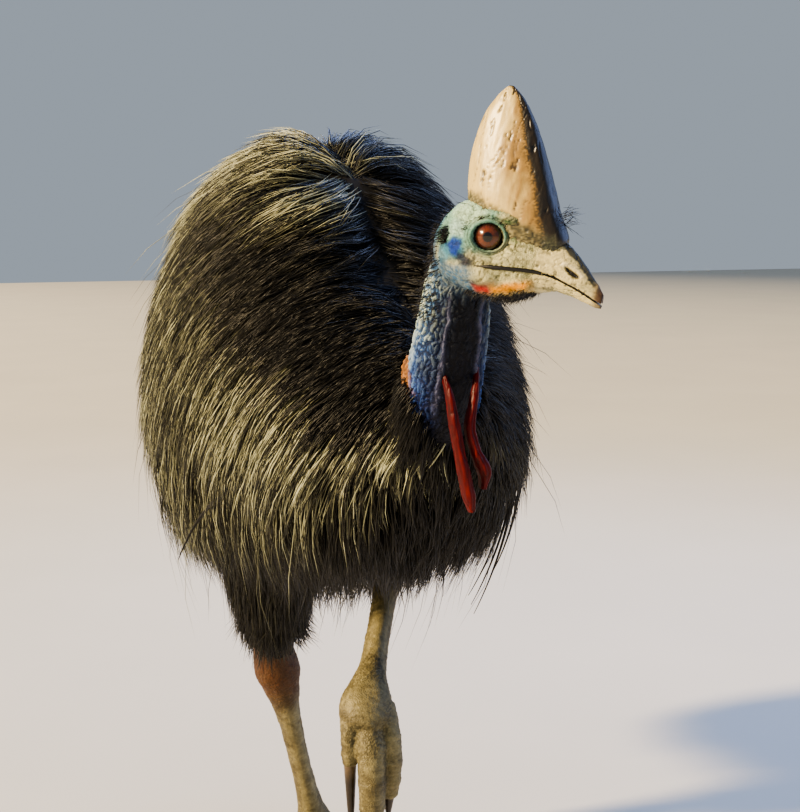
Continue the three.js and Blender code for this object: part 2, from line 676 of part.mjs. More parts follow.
// The torso ends where the rump droops. Its last locks lie over the tail, and the tail's own come out below
// them. A lock that a leg, a wing or the neck would cut off its root is left out, since they fill its place.
const inTheWay = [
  neck(GAP),
  thigh('left', GAP),
  thigh('right', GAP),
  thigh('left', THIGH_LOCK.zone).trimByPlane([0, 0, -1], -THIGH_ZONE_TOP.left),
  thigh('right', THIGH_LOCK.zone).trimByPlane([0, 0, -1], -THIGH_ZONE_TOP.right),
  tarsusSolid(LIFTED, HOCK.left, GAP),
  wing(1, 'left', GAP),
  wing(-1, 'right', GAP),
];
const LEAST_ROOT = 1000; // cubic millimetres of a lock inside the core
const onTorso = ({ points }) => points[0].y < TAIL_ROOT;
function staysRooted(spec) {
  const pieces = clearOf(lock(spec), ...inTheWay).decompose();
  return pieces.length === 1 && pieces[0].intersect(core()).volume() > LEAST_ROOT;
}
const torsoLocks = coat.filter(onTorso).filter(staysRooted);
const tailLocks = coat.filter((spec) => !onTorso(spec));
const overTail = torsoLocks.filter(({ points }) => points.at(-1).y > TAIL_ROOT - LOCK.short);
const torsoCore = core().trimByPlane([0, -1, 0], -TAIL_ROOT);
const tailCore = core().trimByPlane([0, 1, 0], TAIL_ROOT + GAP);
const torsoCoat = clearOf(join(...torsoLocks.map((spec) => lock(spec))), ...inTheWay);
const tailWhole = join(tailCore, ...tailLocks.map((spec) => lock(spec)));
const torsoSpace = core(GAP).trimByPlane([0, -1, 0], -TAIL_ROOT);
addNode(bird, 'torso', plumage, clearOf(join(torsoCore, torsoCoat)));
addNode(bird, 'tail', plumage, clearOf(tailWhole, torsoSpace, ...overTail.map((spec) => lock(spec, GAP))));

export default bird;
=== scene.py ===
"""A southern cassowary at life size, as a still museum model in mid-stride.

One skin with its own markings carries a coat of separate glossy strands. The casque, bill, eyes, wattles,
wing quills and claws are pieces of their own. Metres, +Z up; the bird faces -Y and its left side is +X. The
origin is on the floor, under the ball of the planted right foot. The tables below are in millimetres.
"""

import logging
import math
from dataclasses import dataclass, field
from enum import Enum
from typing import Optional, Sequence

import bpy
import numpy as np
from mathutils import Matrix, Vector

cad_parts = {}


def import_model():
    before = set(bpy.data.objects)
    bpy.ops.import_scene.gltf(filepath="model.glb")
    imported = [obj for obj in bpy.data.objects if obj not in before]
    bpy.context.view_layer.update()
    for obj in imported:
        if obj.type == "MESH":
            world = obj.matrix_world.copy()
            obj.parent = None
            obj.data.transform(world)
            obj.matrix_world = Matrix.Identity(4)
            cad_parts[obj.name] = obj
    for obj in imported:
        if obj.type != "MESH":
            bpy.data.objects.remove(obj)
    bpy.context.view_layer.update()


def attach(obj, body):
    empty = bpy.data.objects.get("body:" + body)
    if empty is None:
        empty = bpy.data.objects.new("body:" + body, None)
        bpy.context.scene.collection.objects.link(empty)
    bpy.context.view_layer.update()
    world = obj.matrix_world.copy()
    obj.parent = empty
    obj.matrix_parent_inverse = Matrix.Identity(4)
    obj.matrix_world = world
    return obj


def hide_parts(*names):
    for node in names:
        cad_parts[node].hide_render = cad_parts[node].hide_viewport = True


Array = np.ndarray
Draws = np.random.Generator
Material = bpy.types.Material
Triple = tuple[float, float, float]

LOG = logging.getLogger("cassowary")
MM = 0.001
BODY = "root"
UP = np.array([0.0, 0.0, 1.0])
MARKING = "Marking"  # the attribute that holds each point's own colour
BAKE_MAP = "OFBake"
PATCH = 0.003  # the size of a tuft's patch on the bake map
PLACES = 80  # how many places along a limb are tried when a point is located on it
BLOCK = 20000  # how many points are located at once
BLADE = ((-1.0, -0.3), (1.0, -0.3), (0.0, 0.55))  # a strand's section, a low roof, in half widths
STRAW = ("#090808", "#191815", "#39382d", "#73745d", "#c1c2a2")  # strands, from unworn black to straw faded by the sun, whose light end also stands for a painted sheen of sunlight


class Side(Enum):
    """The bird's two sides, by the sign of X there."""

    LEFT = 1
    RIGHT = -1

    @property
    def word(self) -> str:
        """The side's name as the nodes spell it."""
        return self.name.lower()


class Zone(Enum):
    """The parts of the plumage that each make one piece."""

    BACK = "back"
    FLANK = "flank"
    SKIRT = "skirt"
    BELLY = "belly"
    RUMP = "rump"


# Numbers and colours


def linear(code: str) -> Array:
    """Turn an sRGB hex colour into linear light.

    Args:
        code: the colour, such as "#2b4fa0".

    Returns:
        Red, green and blue, from 0 to 1.
    """
    values = np.array([int(code[i : i + 2], 16) for i in (1, 3, 5)]) / 255
    return np.where(values <= 0.04045, values / 12.92, ((values + 0.055) / 1.055) ** 2.4)


def smoothstep(values: Array, low: float, high: float) -> Array:
    """Rise smoothly from 0 at low to 1 at high; high may be the lower of the two."""
    share = np.clip((np.asarray(values, float) - low) / (high - low), 0, 1)
    return share * share * (3 - 2 * share)


def unit(vectors: Array) -> Array:
    """Scale vectors, along the last axis, to a length of 1."""
    return vectors / np.maximum(np.linalg.norm(vectors, axis=-1, keepdims=True), 1e-12)


def grid(*parts: Array) -> Array:
    """Put coordinates together as points, each spread to the shape that they share."""
    return np.stack(np.broadcast_arrays(*parts), -1)


def circle(count: int) -> Array:
    """Even steps round a full turn, in radians."""
    return 2 * math.pi * np.arange(count) / count


def bell(values: Array, middle: float, width: float) -> Array:
    """Rise to 1 round a middle value and fall to nearly 0 at two widths from it."""
    return np.exp(-(((values - middle) / width) ** 2))


def between(stops: Sequence, shares: Array) -> Array:
    """Follow a smooth curve through rows of numbers.

    Args:
        stops: the rows to pass through.
        shares: where to look, from 0 at the first row to 1 at the last.

    Returns:
        One row for each share.
    """
    rows = np.asarray(stops, float)
    last = len(rows) - 1
    place = np.clip(np.asarray(shares, float), 0, 1) * last
    start = np.minimum(place.astype(int), last - 1)
    t = (place - start)[:, None]
    padded = np.vstack([2 * rows[0] - rows[1], rows, 2 * rows[-1] - rows[-2]])
    a, b, c, d = (padded[start + n] for n in range(4))
    curve = 2 * b + (c - a) * t + (2 * a - 5 * b + 4 * c - d) * t**2 + (3 * b - a - 3 * c + d) * t**3
    return curve / 2


def hashed(cell: Array, seed: int) -> Array:
    """Give each whole-number cell its own fixed number from 0 to 1.

    Args:
        cell: the cells, (..., 3).
        seed: picks another set of numbers.

    Returns:
        One number for each cell.
    """
    mixed = cell[..., 0] * 73856093 ^ cell[..., 1] * 19349663 ^ cell[..., 2] * 83492791 ^ seed * 2654435761
    mixed = (mixed & 0xFFFFFFFF) * 2246822519 & 0xFFFFFFFF
    mixed = (mixed ^ mixed >> 13) * 3266489917 & 0xFFFFFFFF
    return (mixed ^ mixed >> 16) / 0xFFFFFFFF


def cloud(points: Array, size: float, seed: int, octaves: int = 2) -> Array:
    """Smooth noise from -1 to 1 at points.

    Args:
        points: where to look, (n, 3).
        size: the width of its largest blots, in metres.
        seed: picks another pattern.
        octaves: how many finer layers it has.

    Returns:
        One value for each point.
    """
    total = np.zeros(len(points))
    weight = 0.0
    for octave in range(octaves):
        place = points / size * 2**octave
        cell = np.floor(place).astype(np.int64)
        share = place - cell
        share = share * share * (3 - 2 * share)
        for corner in np.ndindex(2, 2, 2):
            near = np.where(corner, share, 1 - share).prod(axis=1)
            total += near * hashed(cell + corner, seed + octave) / 2**octave
        weight += 1 / 2**octave
    return 2 * total / weight - 1


def pebbles(points: Array, size: float, seed: int) -> Array:
    """Rounded bumps set close: 1 on top of each and 0 in the grooves between them.

    Args:
        points: where to look, (n, 3).
        size: the distance from one bump to the next, in metres.
        seed: picks another pattern.

    Returns:
        One value for each point.
    """
    place = points / size
    cell = np.floor(place).astype(np.int64)
    nearest = np.full(len(points), 9.0)
    second = np.full(len(points), 9.0)
    for offset in np.ndindex(3, 3, 3):
        other = cell + np.array(offset) - 1
        centre = other + grid(*(hashed(other, seed + n) for n in range(3)))
        distance = np.linalg.norm(place - centre, axis=1)
        second = np.minimum(second, np.maximum(nearest, distance))
        nearest = np.minimum(nearest, distance)
    return smoothstep(second - nearest, 0.02, 0.42)


def creases(points: Array, size: float, seed: int, width: float) -> Array:
    """1 along thin wandering lines and 0 beside them, for the same points, size and seed as the noise."""
    return smoothstep(np.abs(cloud(points, size, seed, 2)), width, 0.0)


def plain(code: str, count: int) -> Array:
    """One sRGB hex colour for each of a count of points."""
    return np.tile(linear(code), (count, 1))


def painted(colours: Array, *layers: Sequence) -> Array:
    """Lay marks over colours, one after another.

    Args:
        colours: the colours below, one for each point.
        layers: for each mark its sRGB hex colour, its share at each point and, where it has one, its shade.

    Returns:
        The colours with the marks.
    """
    for code, share, *shade in layers:
        share = np.clip(np.asarray(share, float), 0, 1)[:, None]
        tone = linear(code) * np.asarray(shade[0])[:, None] if shade else linear(code)
        colours = colours * (1 - share) + tone * share
    return colours


def spot(x: Array, z: Array, at_x: float, at_z: float, half_x: float, half_z: float) -> Array:
    """A soft oval: 1 in its middle, 0 from its edge on."""
    return smoothstep(np.hypot((x - at_x) / half_x, (z - at_z) / half_z), 1.0, 0.45)


# Meshes


@dataclass
class Shape:
    """A closed surface of triangles, in metres, with an optional colour and bake place for each point."""

    points: Array
    triangles: Array
    colours: Optional[Array] = None
    bake: Optional[Array] = None
    kinds: Optional[Array] = None  # the number of each triangle's finish

    def normals(self) -> Array:
        """The way out of the surface at each point.

        Returns:
            One unit vector for each point.
        """
        a, b, c = (self.points[self.triangles[:, k]] for k in range(3))
        faces = np.cross(b - a, c - a)
        total = np.zeros_like(self.points)
        for k in range(3):
            for axis in range(3):
                total[:, axis] += np.bincount(self.triangles[:, k], faces[:, axis], len(self.points))
        return unit(total)

    def outward(self) -> "Shape":
        """Turn the faces round if the surface is inside out.

        Returns:
            The same shape.
        """
        a, b, c = (self.points[self.triangles[:, k]] for k in range(3))
        if np.einsum("ij,ij->i", a, np.cross(b, c)).sum() < 0:
            self.triangles = self.triangles[:, ::-1]
        return self


def joined(shapes: Sequence[Shape]) -> Shape:
    """Put shapes in one mesh, each still a surface of its own.

    Args:
        shapes: the shapes.

    Returns:
        The one shape, whose kinds number the shapes that its triangles come from.
    """
    starts = np.cumsum([0] + [len(shape.points) for shape in shapes[:-1]])
    points = np.vstack([shape.points for shape in shapes])
    triangles = np.vstack([shape.triangles + start for shape, start in zip(shapes, starts)])
    colours = None
    if all(shape.colours is not None for shape in shapes):
        colours = np.vstack([shape.colours for shape in shapes])
    kinds = np.concatenate([np.full(len(shape.triangles), k) for k, shape in enumerate(shapes)])
    return Shape(points, triangles, colours, kinds=kinds)


def loft(rings: Array) -> Shape:
    """Close a surface through rings of points.

    Args:
        rings: the rings in order, (rings, points of a ring, 3).

    Returns:
        The surface, with a fan over each end.
    """
    count, sides, _ = rings.shape
    index = np.arange(count * sides).reshape(count, sides)
    after = np.roll(index, -1, axis=1)
    a, b, c, d = (part.ravel() for part in (index[:-1], after[:-1], after[1:], index[1:]))
    walls = np.vstack([grid(a, b, c), grid(a, c, d)])
    ends = np.stack([rings[0].mean(0), rings[-1].mean(0)])
    first = count * sides
    caps = np.vstack([grid(first, after[0], index[0]), grid(first + 1, index[-1], after[-1])])
    return Shape(np.vstack([rings.reshape(-1, 3), ends]), np.vstack([walls, caps])).outward()


def ball(rings: int, sides: int) -> Array:
    """The rings of a unit sphere, from one end of X to the other.

    Args:
        rings: how many rings it has.
        sides: how many points each ring has.

    Returns:
        The rings' points, (rings, sides, 3).
    """
    turn = circle(sides)
    tilt = np.linspace(0.06, math.pi - 0.06, rings)[:, None]
    return grid(np.cos(tilt), np.sin(tilt) * np.sin(turn), np.sin(tilt) * np.cos(turn))


@dataclass
class Limb:
    """A smooth round limb through its stops, each (x, y, z, half width, half depth) in millimetres."""

    stops: Sequence
    side: Sequence[float] = (1.0, 0.0, 0.0)  # the way that the half width runs

    def frame(self, shares: Array) -> tuple[Array, ...]:
        """Follow the limb.

        Args:
            shares: where to look, as shares of its length.

        Returns:
            Its middle, its two half sizes, and the ways across, deep and ahead.
        """
        fine = between(self.stops, np.clip(np.concatenate([shares - 0.002, shares + 0.002]), 0, 1)) * MM
        line = between(self.stops, shares) * MM
        ahead = unit(fine[len(shares) :, :3] - fine[: len(shares), :3])
        way = np.array(self.side, float)
        across = unit(way - ahead * (ahead @ way)[:, None])
        return line[:, :3], np.maximum(line[:, 3:5], 0.0003), across, np.cross(ahead, across), ahead

    def shape(self, sides: int = 32, rings: int = 60) -> Shape:
        """The limb's surface.

        Args:
            sides: how many points each ring has.
            rings: how many rings there are.

        Returns:
            The closed surface.
        """
        centre, half, across, deep, _ = self.frame(np.linspace(0, 1, rings))
        turn = circle(sides)
        ways = across[:, None] * (np.sin(turn) * half[:, :1])[..., None]
        ways = ways + deep[:, None] * (np.cos(turn) * half[:, 1:])[..., None]
        return loft(centre[:, None] + ways)

    def locate(self, points: Array) -> tuple[Array, ...]:
        """Find where points lie along and round the limb.

        Args:
            points: the points, (n, 3).

        Returns:
            The share of the length, how far across and how far towards the front in half sizes, and how far
            from the middle in half sizes.
        """
        shares = np.linspace(0, 1, PLACES)
        centre, half, across, deep, _ = self.frame(shares)
        nearest = np.empty(len(points), int)
        for start in range(0, len(points), BLOCK):
            block = points[start : start + BLOCK]
            gap = np.linalg.norm(block[:, None] - centre[None], axis=2) / half.mean(1)
            nearest[start : start + BLOCK] = gap.argmin(1)
        away = points - centre[nearest]
        wide = np.einsum("ij,ij->i", away, across[nearest]) / half[nearest, 0]
        front = np.einsum("ij,ij->i", away, deep[nearest]) / half[nearest, 1]
        return shares[nearest], wide, front, np.hypot(wide, front)


def make(name: str, shape: Shape, finishes: Sequence[Material]) -> bpy.types.Object:
    """Make a smooth Blender mesh of a shape, with its colours and its bake map.

    Args:
        name: the object's name.
        shape: the surface.
        finishes: the materials, in the order that the shape's kinds number them.

    Returns:
        The object, linked to the scene.
    """
    mesh = bpy.data.meshes.new(name)
    corners = shape.triangles.ravel().astype(np.int32)
    mesh.vertices.add(len(shape.points))
    mesh.vertices.foreach_set("co", shape.points.astype(np.float32).ravel())
    mesh.loops.add(len(corners))
    mesh.loops.foreach_set("vertex_index", corners)
    mesh.polygons.add(len(shape.triangles))
    mesh.polygons.foreach_set("loop_start", np.arange(0, len(corners), 3, dtype=np.int32))
    mesh.polygons.foreach_set("use_smooth", np.ones(len(shape.triangles), bool))
    for finish in finishes:
        mesh.materials.append(finish)
    if shape.kinds is not None and len(finishes) > 1:
        mesh.polygons.foreach_set("material_index", shape.kinds.astype(np.int32))
    mesh.update(calc_edges=True)
    if shape.colours is not None:
        marks = mesh.attributes.new(MARKING, "FLOAT_COLOR", "POINT")
        rgba = np.hstack([shape.colours, np.ones((len(shape.points), 1))])
        marks.data.foreach_set("color", rgba.astype(np.float32).ravel())
    if shape.bake is not None:
        layer = mesh.uv_layers.new(name=BAKE_MAP)
        layer.data.foreach_set("uv", shape.bake[corners].astype(np.float32).ravel())
    piece = bpy.data.objects.new(name, mesh)
    bpy.context.scene.collection.objects.link(piece)
    return piece


def place(
    name: str, shape: Shape, finishes: Sequence[Material], slot: str, replaced: Sequence[str] = ()
) -> bpy.types.Object:
    """Make a piece of the bird, let it ride on the model's one body, and report it.

    Args:
        name: the piece's name.
        shape: its surface.
        finishes: its materials.
        slot: the record's material slot; it is not used.
        replaced: the nodes that it stands for.

    Returns:
        The object.
    """
    piece = make(name, shape, finishes)
    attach(piece, BODY)
    if replaced:
        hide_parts(*replaced)
    LOG.info("%s: %d triangles", name, len(shape.triangles))
    return piece


def fused(shapes: Sequence[Shape], voxel: float, softer: int) -> Shape:
    """Melt closed shapes into one even surface.

    Args:
        shapes: the shapes, which overlap.
        voxel: the size of the new faces, in metres.
        softer: how many times the joins are softened.

    Returns:
        The one surface.
    """
    lump = make("lump", joined(shapes), ())
    melt = lump.modifiers.new("melt", "REMESH")
    melt.mode = "VOXEL"
    melt.voxel_size = voxel
    soften = lump.modifiers.new("soften", "SMOOTH")
    soften.factor = 0.5
    soften.iterations = softer
    solid = lump.evaluated_get(bpy.context.evaluated_depsgraph_get())
    mesh = solid.to_mesh()
    mesh.calc_loop_triangles()
    points = np.empty(len(mesh.vertices) * 3)
    mesh.vertices.foreach_get("co", points)
    triangles = np.empty(len(mesh.loop_triangles) * 3, np.int32)
    mesh.loop_triangles.foreach_get("vertices", triangles)
    solid.to_mesh_clear()
    bpy.data.objects.remove(lump)
    return Shape(points.reshape(-1, 3), triangles.reshape(-1, 3)).outward()


# Finishes


def add(tree: bpy.types.NodeTree, kind: str, links: dict, **settings: object) -> bpy.types.Node:
    """Add a node to a tree.

    Args:
        tree: the material's node tree.
        kind: the node's type.
        links: for each input, by name or number, a value or the socket that feeds it.
        settings: the node's own properties.

    Returns:
        The node.
    """
    node = tree.nodes.new(kind)
    for key, value in settings.items():
        setattr(node, key, value)
    for key, value in links.items():
        if isinstance(value, bpy.types.NodeSocket):
            tree.links.new(value, node.inputs[key])
        else:
            node.inputs[key].default_value = value
    return node


@dataclass(frozen=True)
class Finish:
    """A natural surface: marked colour under a fine grain, with bumps between the grain's own sizes."""

    name: str
    roughness: float
    ior: float = 1.5
    shade: tuple[float, float] = (0.75, 1.2)  # how much darker and lighter the grain makes the colour
    grain: float = 4.0  # the width of the colour's blots, in millimetres
    stretch: Triple = (1.0, 1.0, 1.0)  # below 1 the grain is drawn out that way
    pebble: float = 0.0  # the width of the raised cells, in millimetres; 0 for none
    bump: float = 0.3  # the depth of the relief, in millimetres
    coat: float = 0.0  # the strength of a clear wet or waxy film
    coat_roughness: float = 0.1
    specular: float = 0.5
    subsurface: float = 0.0

    def material(self) -> Material:
        """Build the material's nodes.

        Returns:
            The material.
        """
        material = bpy.data.materials.new(self.name)
        material.use_nodes = True
        tree = material.node_tree
        shader = tree.nodes["Principled BSDF"]
        where = add(tree, "ShaderNodeTexCoord", {})
        drawn = add(tree, "ShaderNodeMapping", {"Vector": where.outputs["Object"], "Scale": self.stretch})
        marks = add(tree, "ShaderNodeAttribute", {}, attribute_name=MARKING)
        scale = 1 / (self.grain * MM)
        blots = {"Vector": drawn.outputs[0], "Scale": scale, "Detail": 4.0, "Roughness": 0.6}
        grain = add(tree, "ShaderNodeTexNoise", blots)
        spread = {"Value": grain.outputs[0], 1: 0.3, 2: 0.7, 3: self.shade[0], 4: self.shade[1]}
        shade = add(tree, "ShaderNodeMapRange", spread)
        tinted = {0: 1.0, 6: marks.outputs["Color"], 7: shade.outputs[0]}
        colour = add(tree, "ShaderNodeMix", tinted, data_type="RGBA", blend_type="MULTIPLY")
        tree.links.new(colour.outputs[2], shader.inputs["Base Color"])
        rough = {"Value": grain.outputs[0], 3: self.roughness * 0.85, 4: min(self.roughness * 1.2, 1.0)}
        tree.links.new(add(tree, "ShaderNodeMapRange", rough).outputs[0], shader.inputs["Roughness"])
        relief = grain.outputs[0]
        if self.pebble:
            cells = {"Vector": drawn.outputs[0], "Scale": 1 / (self.pebble * MM)}
            cell = add(tree, "ShaderNodeTexVoronoi", cells, feature="DISTANCE_TO_EDGE")
            flat = add(tree, "ShaderNodeMapRange", {"Value": cell.outputs[0], 1: 0.0, 2: 0.25})
            both = {0: flat.outputs[0], 1: relief}
            relief = add(tree, "ShaderNodeMath", both, operation="ADD").outputs[0]
        depth = {"Height": relief, "Distance": self.bump * MM, "Strength": 1.0}
        tree.links.new(add(tree, "ShaderNodeBump", depth).outputs[0], shader.inputs["Normal"])
        shader.inputs["IOR"].default_value = self.ior
        shader.inputs["Coat Weight"].default_value = self.coat
        shader.inputs["Coat Roughness"].default_value = self.coat_roughness
        shader.inputs["Specular IOR Level"].default_value = self.specular
        shader.inputs["Subsurface Weight"].default_value = self.subsurface
        shader.inputs["Subsurface Scale"].default_value = 2 * MM
        return material


# Keratin of hair-like feathers, glossy: thin barbs that catch the light along their length
PLUMAGE = Finish(
    "glossy feather keratin",
    0.42,
    1.55,
    (0.7, 1.3),
    grain=9.0,
    bump=0.03,
    coat=0.05,
    coat_roughness=0.3,
    specular=0.3,
)
# Bare living skin, dry and pebbled
FACE_SKIN = Finish(
    "bare pebbled skin",
    0.48,
    1.42,
    (0.66, 1.18),
    grain=2.6,
    pebble=1.5,
    bump=0.24,
    specular=0.3,
    subsurface=0.02,
)
# Horny scutes and scales of the leg, worn dull
LEG_SCALE = Finish("worn leg scales", 0.5, 1.5, (0.66, 1.2), 5.0, pebble=3.2, bump=0.3, specular=0.35)
# Skin under the plumage, matt and nearly black
UNDER_SKIN = Finish("dark skin under the plumage", 0.85, 1.4, (0.7, 1.1), 9.0, bump=0.3)
# Casque sheath of keratin, weathered, with grain that runs up to the tip
CASQUE_HORN = Finish("weathered casque keratin", 0.36, 1.54, (0.74, 1.1), 5.0, (1, 1, 0.22), bump=0.2)
# Bill sheath of keratin, chalky and pitted
BILL_HORN = Finish("pitted bill keratin", 0.44, 1.54, (0.7, 1.12), 3.0, (0.6, 1, 1), bump=0.3)
# Soft bare skin of the wattles, moist
WATTLE_SKIN = Finish(
    "moist wattle skin",
    0.44,
    1.42,
    (0.6, 1.2),
    grain=4.0,
    stretch=(1, 1, 0.3),
    bump=0.25,
    specular=0.3,
    subsurface=0.03,
)
# Bare quill shafts, dull black
QUILL_HORN = Finish("smooth quill keratin", 0.5, 1.5, (0.8, 1.2), 3.0, (1, 1, 0.3), bump=0.05)
# Claw horn, worn and scratched along its length
CLAW_HORN = Finish("worn claw horn", 0.36, 1.54, (0.7, 1.3), 3.0, bump=0.15)
# Wet cornea over the iris: a clear film gives the sharp light in the eye
EYE_WET = Finish("wet eye", 0.25, 1.38, (0.85, 1.12), 1.4, bump=0.02, coat=1.0, coat_roughness=0.02)


# The trunk: the shells that the coat grows from and reaches to


@dataclass
class Trunk:
    """The body's two shells: the core, where the strands root, and the outside, which their tips reach."""

    midline: float = 1.0
    hayrick: float = 0.14  # the back is narrower than the belly by this share of the half width
    full_rump: float = 0.22  # how much squarer the section is at the rump than at the breast
    depth: Triple = (26.0, 112.0, 38.0)  # outside to core: back, belly, flank
    least: float = 0.74  # the core is never less than this share of the outside
    under: float = 3 * MM  # the skin lies this far under the strands' roots
    ends: tuple[float, float] = (0.985, 0.9)  # the core's reach at the collar and rump
    # From the collar to the rump, as (y, back, belly, half width) at the outside of the plumage
    line: Sequence = (
        (-650, 828, 748, 30),
        (-622, 858, 712, 58),
        (-580, 880, 665, 88),
        (-530, 898, 615, 124),
        (-456, 932, 560, 170),
        (-356, 1003, 530, 205),
        (-250, 1090, 500, 235),
        (-140, 1135, 465, 250),
        (-20, 1134, 448, 253),
        (100, 1122, 432, 247),
        (195, 1090, 422, 230),
        (265, 1020, 424, 200),
        (320, 915, 440, 155),
        (358, 790, 485, 100),
        (382, 660, 560, 34),
    )
    outside: Array = field(init=False)
    core: Array = field(init=False)

    def __post_init__(self) -> None:
        """Work out both shells as rows of (y, middle, half width, half height), in metres."""
        y, back, belly, half = np.array(self.line, float).T
        tall = (back - belly) / 2
        core_tall = np.maximum(tall - (self.depth[0] + self.depth[1]) / 2, tall * self.least)
        inset = np.minimum(self.depth[0], tall - core_tall)
        core_half = np.maximum(half - self.depth[2], half * self.least)
        core_y = y * np.where(y > 0, self.ends[1], self.ends[0])
        self.outside = grid(y, back - tall, half, tall) * MM
        self.core = grid(core_y, back - inset - core_tall, core_half, core_tall) * MM

    def section(self, shell: Array, y: Array) -> tuple[Array, ...]:
        """A shell's middle height, half width and half height at places along the body."""
        return tuple(np.interp(y, shell[:, 0], shell[:, n]) for n in (1, 2, 3))

    def reach_of(self, shell: Array, points: Array) -> Array:
        """How far out points lie on one shell.

        Args:
            shell: the core or the outside.
            points: the points, in metres.

        Returns:
            For each point 1 on the shell and less inside it.
        """
        middle, half, tall = self.section(shell, points[..., 1])
        along = np.clip((points[..., 1] - shell[0, 0]) / (shell[-1, 0] - shell[0, 0]), 0, 1)
        low = (middle - points[..., 2]) / tall
        half = half * (1 + self.hayrick * np.clip(low, -1, 1))
        wide = np.abs(points[..., 0] - self.midline * MM) / half
        past = np.clip((points[..., 1] - shell[-1, 0]) / 0.03, 0, None)
        return np.hypot(low, wide ** (1 / (1 - self.full_rump * along))) + past

    def reach(self, points: Array, share: Array) -> Array:
        """The same, on the shell that lies this share of the way from the core to the outside."""
        core, outside = self.reach_of(self.core, points), self.reach_of(self.outside, points)
        return core + (outside - core) * share

    def out(self, points: Array, share: Array) -> tuple[Array, Array]:
        """Find the way out of the coat.

        Args:
            points: the points, in metres.
            share: for each, how far its shell lies from the core towards the outside.

        Returns:
            The ways out, and how fast the reach grows that way.
        """
        step = 1.0 * MM
        here = self.reach(points, share)
        ways = [self.reach(points + step * np.eye(3)[axis], share) - here for axis in range(3)]
        slope = grid(*ways) / step
        steep = np.linalg.norm(slope, axis=-1)
        return slope / np.maximum(steep, 1e-9)[..., None], steep

    def settle(self, points: Array, share: Array) -> tuple[Array, Array]:
        """Move points on to a shell.

        Args:
            points: the points, (n, 3).
            share: for each, how far its shell lies from the core towards the outside.

        Returns:
            The points on their shells, and the ways out there.
        """
        for _ in range(3):
            out, steep = self.out(points, share)
            miss = (1 - self.reach(points, share)) / steep
            points = points + out * np.clip(miss, -0.06, 0.06)[..., None]
        return points, self.out(points, share)[0]

    def skin(self) -> Shape:
        """The core's surface, just under the strands' roots.

        Returns:
            A closed surface.
        """
        turn = circle(48)
        y = np.linspace(self.core[0, 0], self.core[-1, 0], 90)
        middle, half, tall = self.section(self.core, y)
        along = (y - y[0]) / (y[-1] - y[0])
        sine, cosine = np.sin(turn), np.cos(turn)
        power = (1 - self.full_rump * along)[:, None]
        full = np.sign(sine) * np.abs(sine) ** power
        x = self.midline * MM + full * (half - self.under)[:, None] * (1 - self.hayrick * cosine)
        z = middle[:, None] + cosine * (tall - self.under)[:, None]
        return loft(grid(x, y[:, None], z))

    def roots(self, count: int, draws: Draws) -> tuple[Array, ...]:
        """Spread roots evenly over the core.

        Args:
            count: how many roots.
            draws: the seeded draws.

        Returns:
            The roots, their angles from the top in degrees, and their sides as signs.
        """
        y = np.linspace(self.core[0, 0], self.core[-1, 0] - 1 * MM, 400)
        middle, half, tall = self.section(self.core, y)
        steps = np.hypot(np.gradient(y), np.gradient(tall))
        area = np.cumsum((half + tall) * steps)
        along = np.interp(draws.random(count) * area[-1], area, y)
        angle = draws.random(count) * 180
        side = draws.choice([-1.0, 1.0], count)
        middle, half, tall = self.section(self.core, along)
        turn = np.radians(angle)
        x = self.midline * MM + side * np.sin(turn) * half * (1 - self.hayrick * np.cos(turn))
        return grid(x, along, middle + np.cos(turn) * tall), angle, side


# The coat


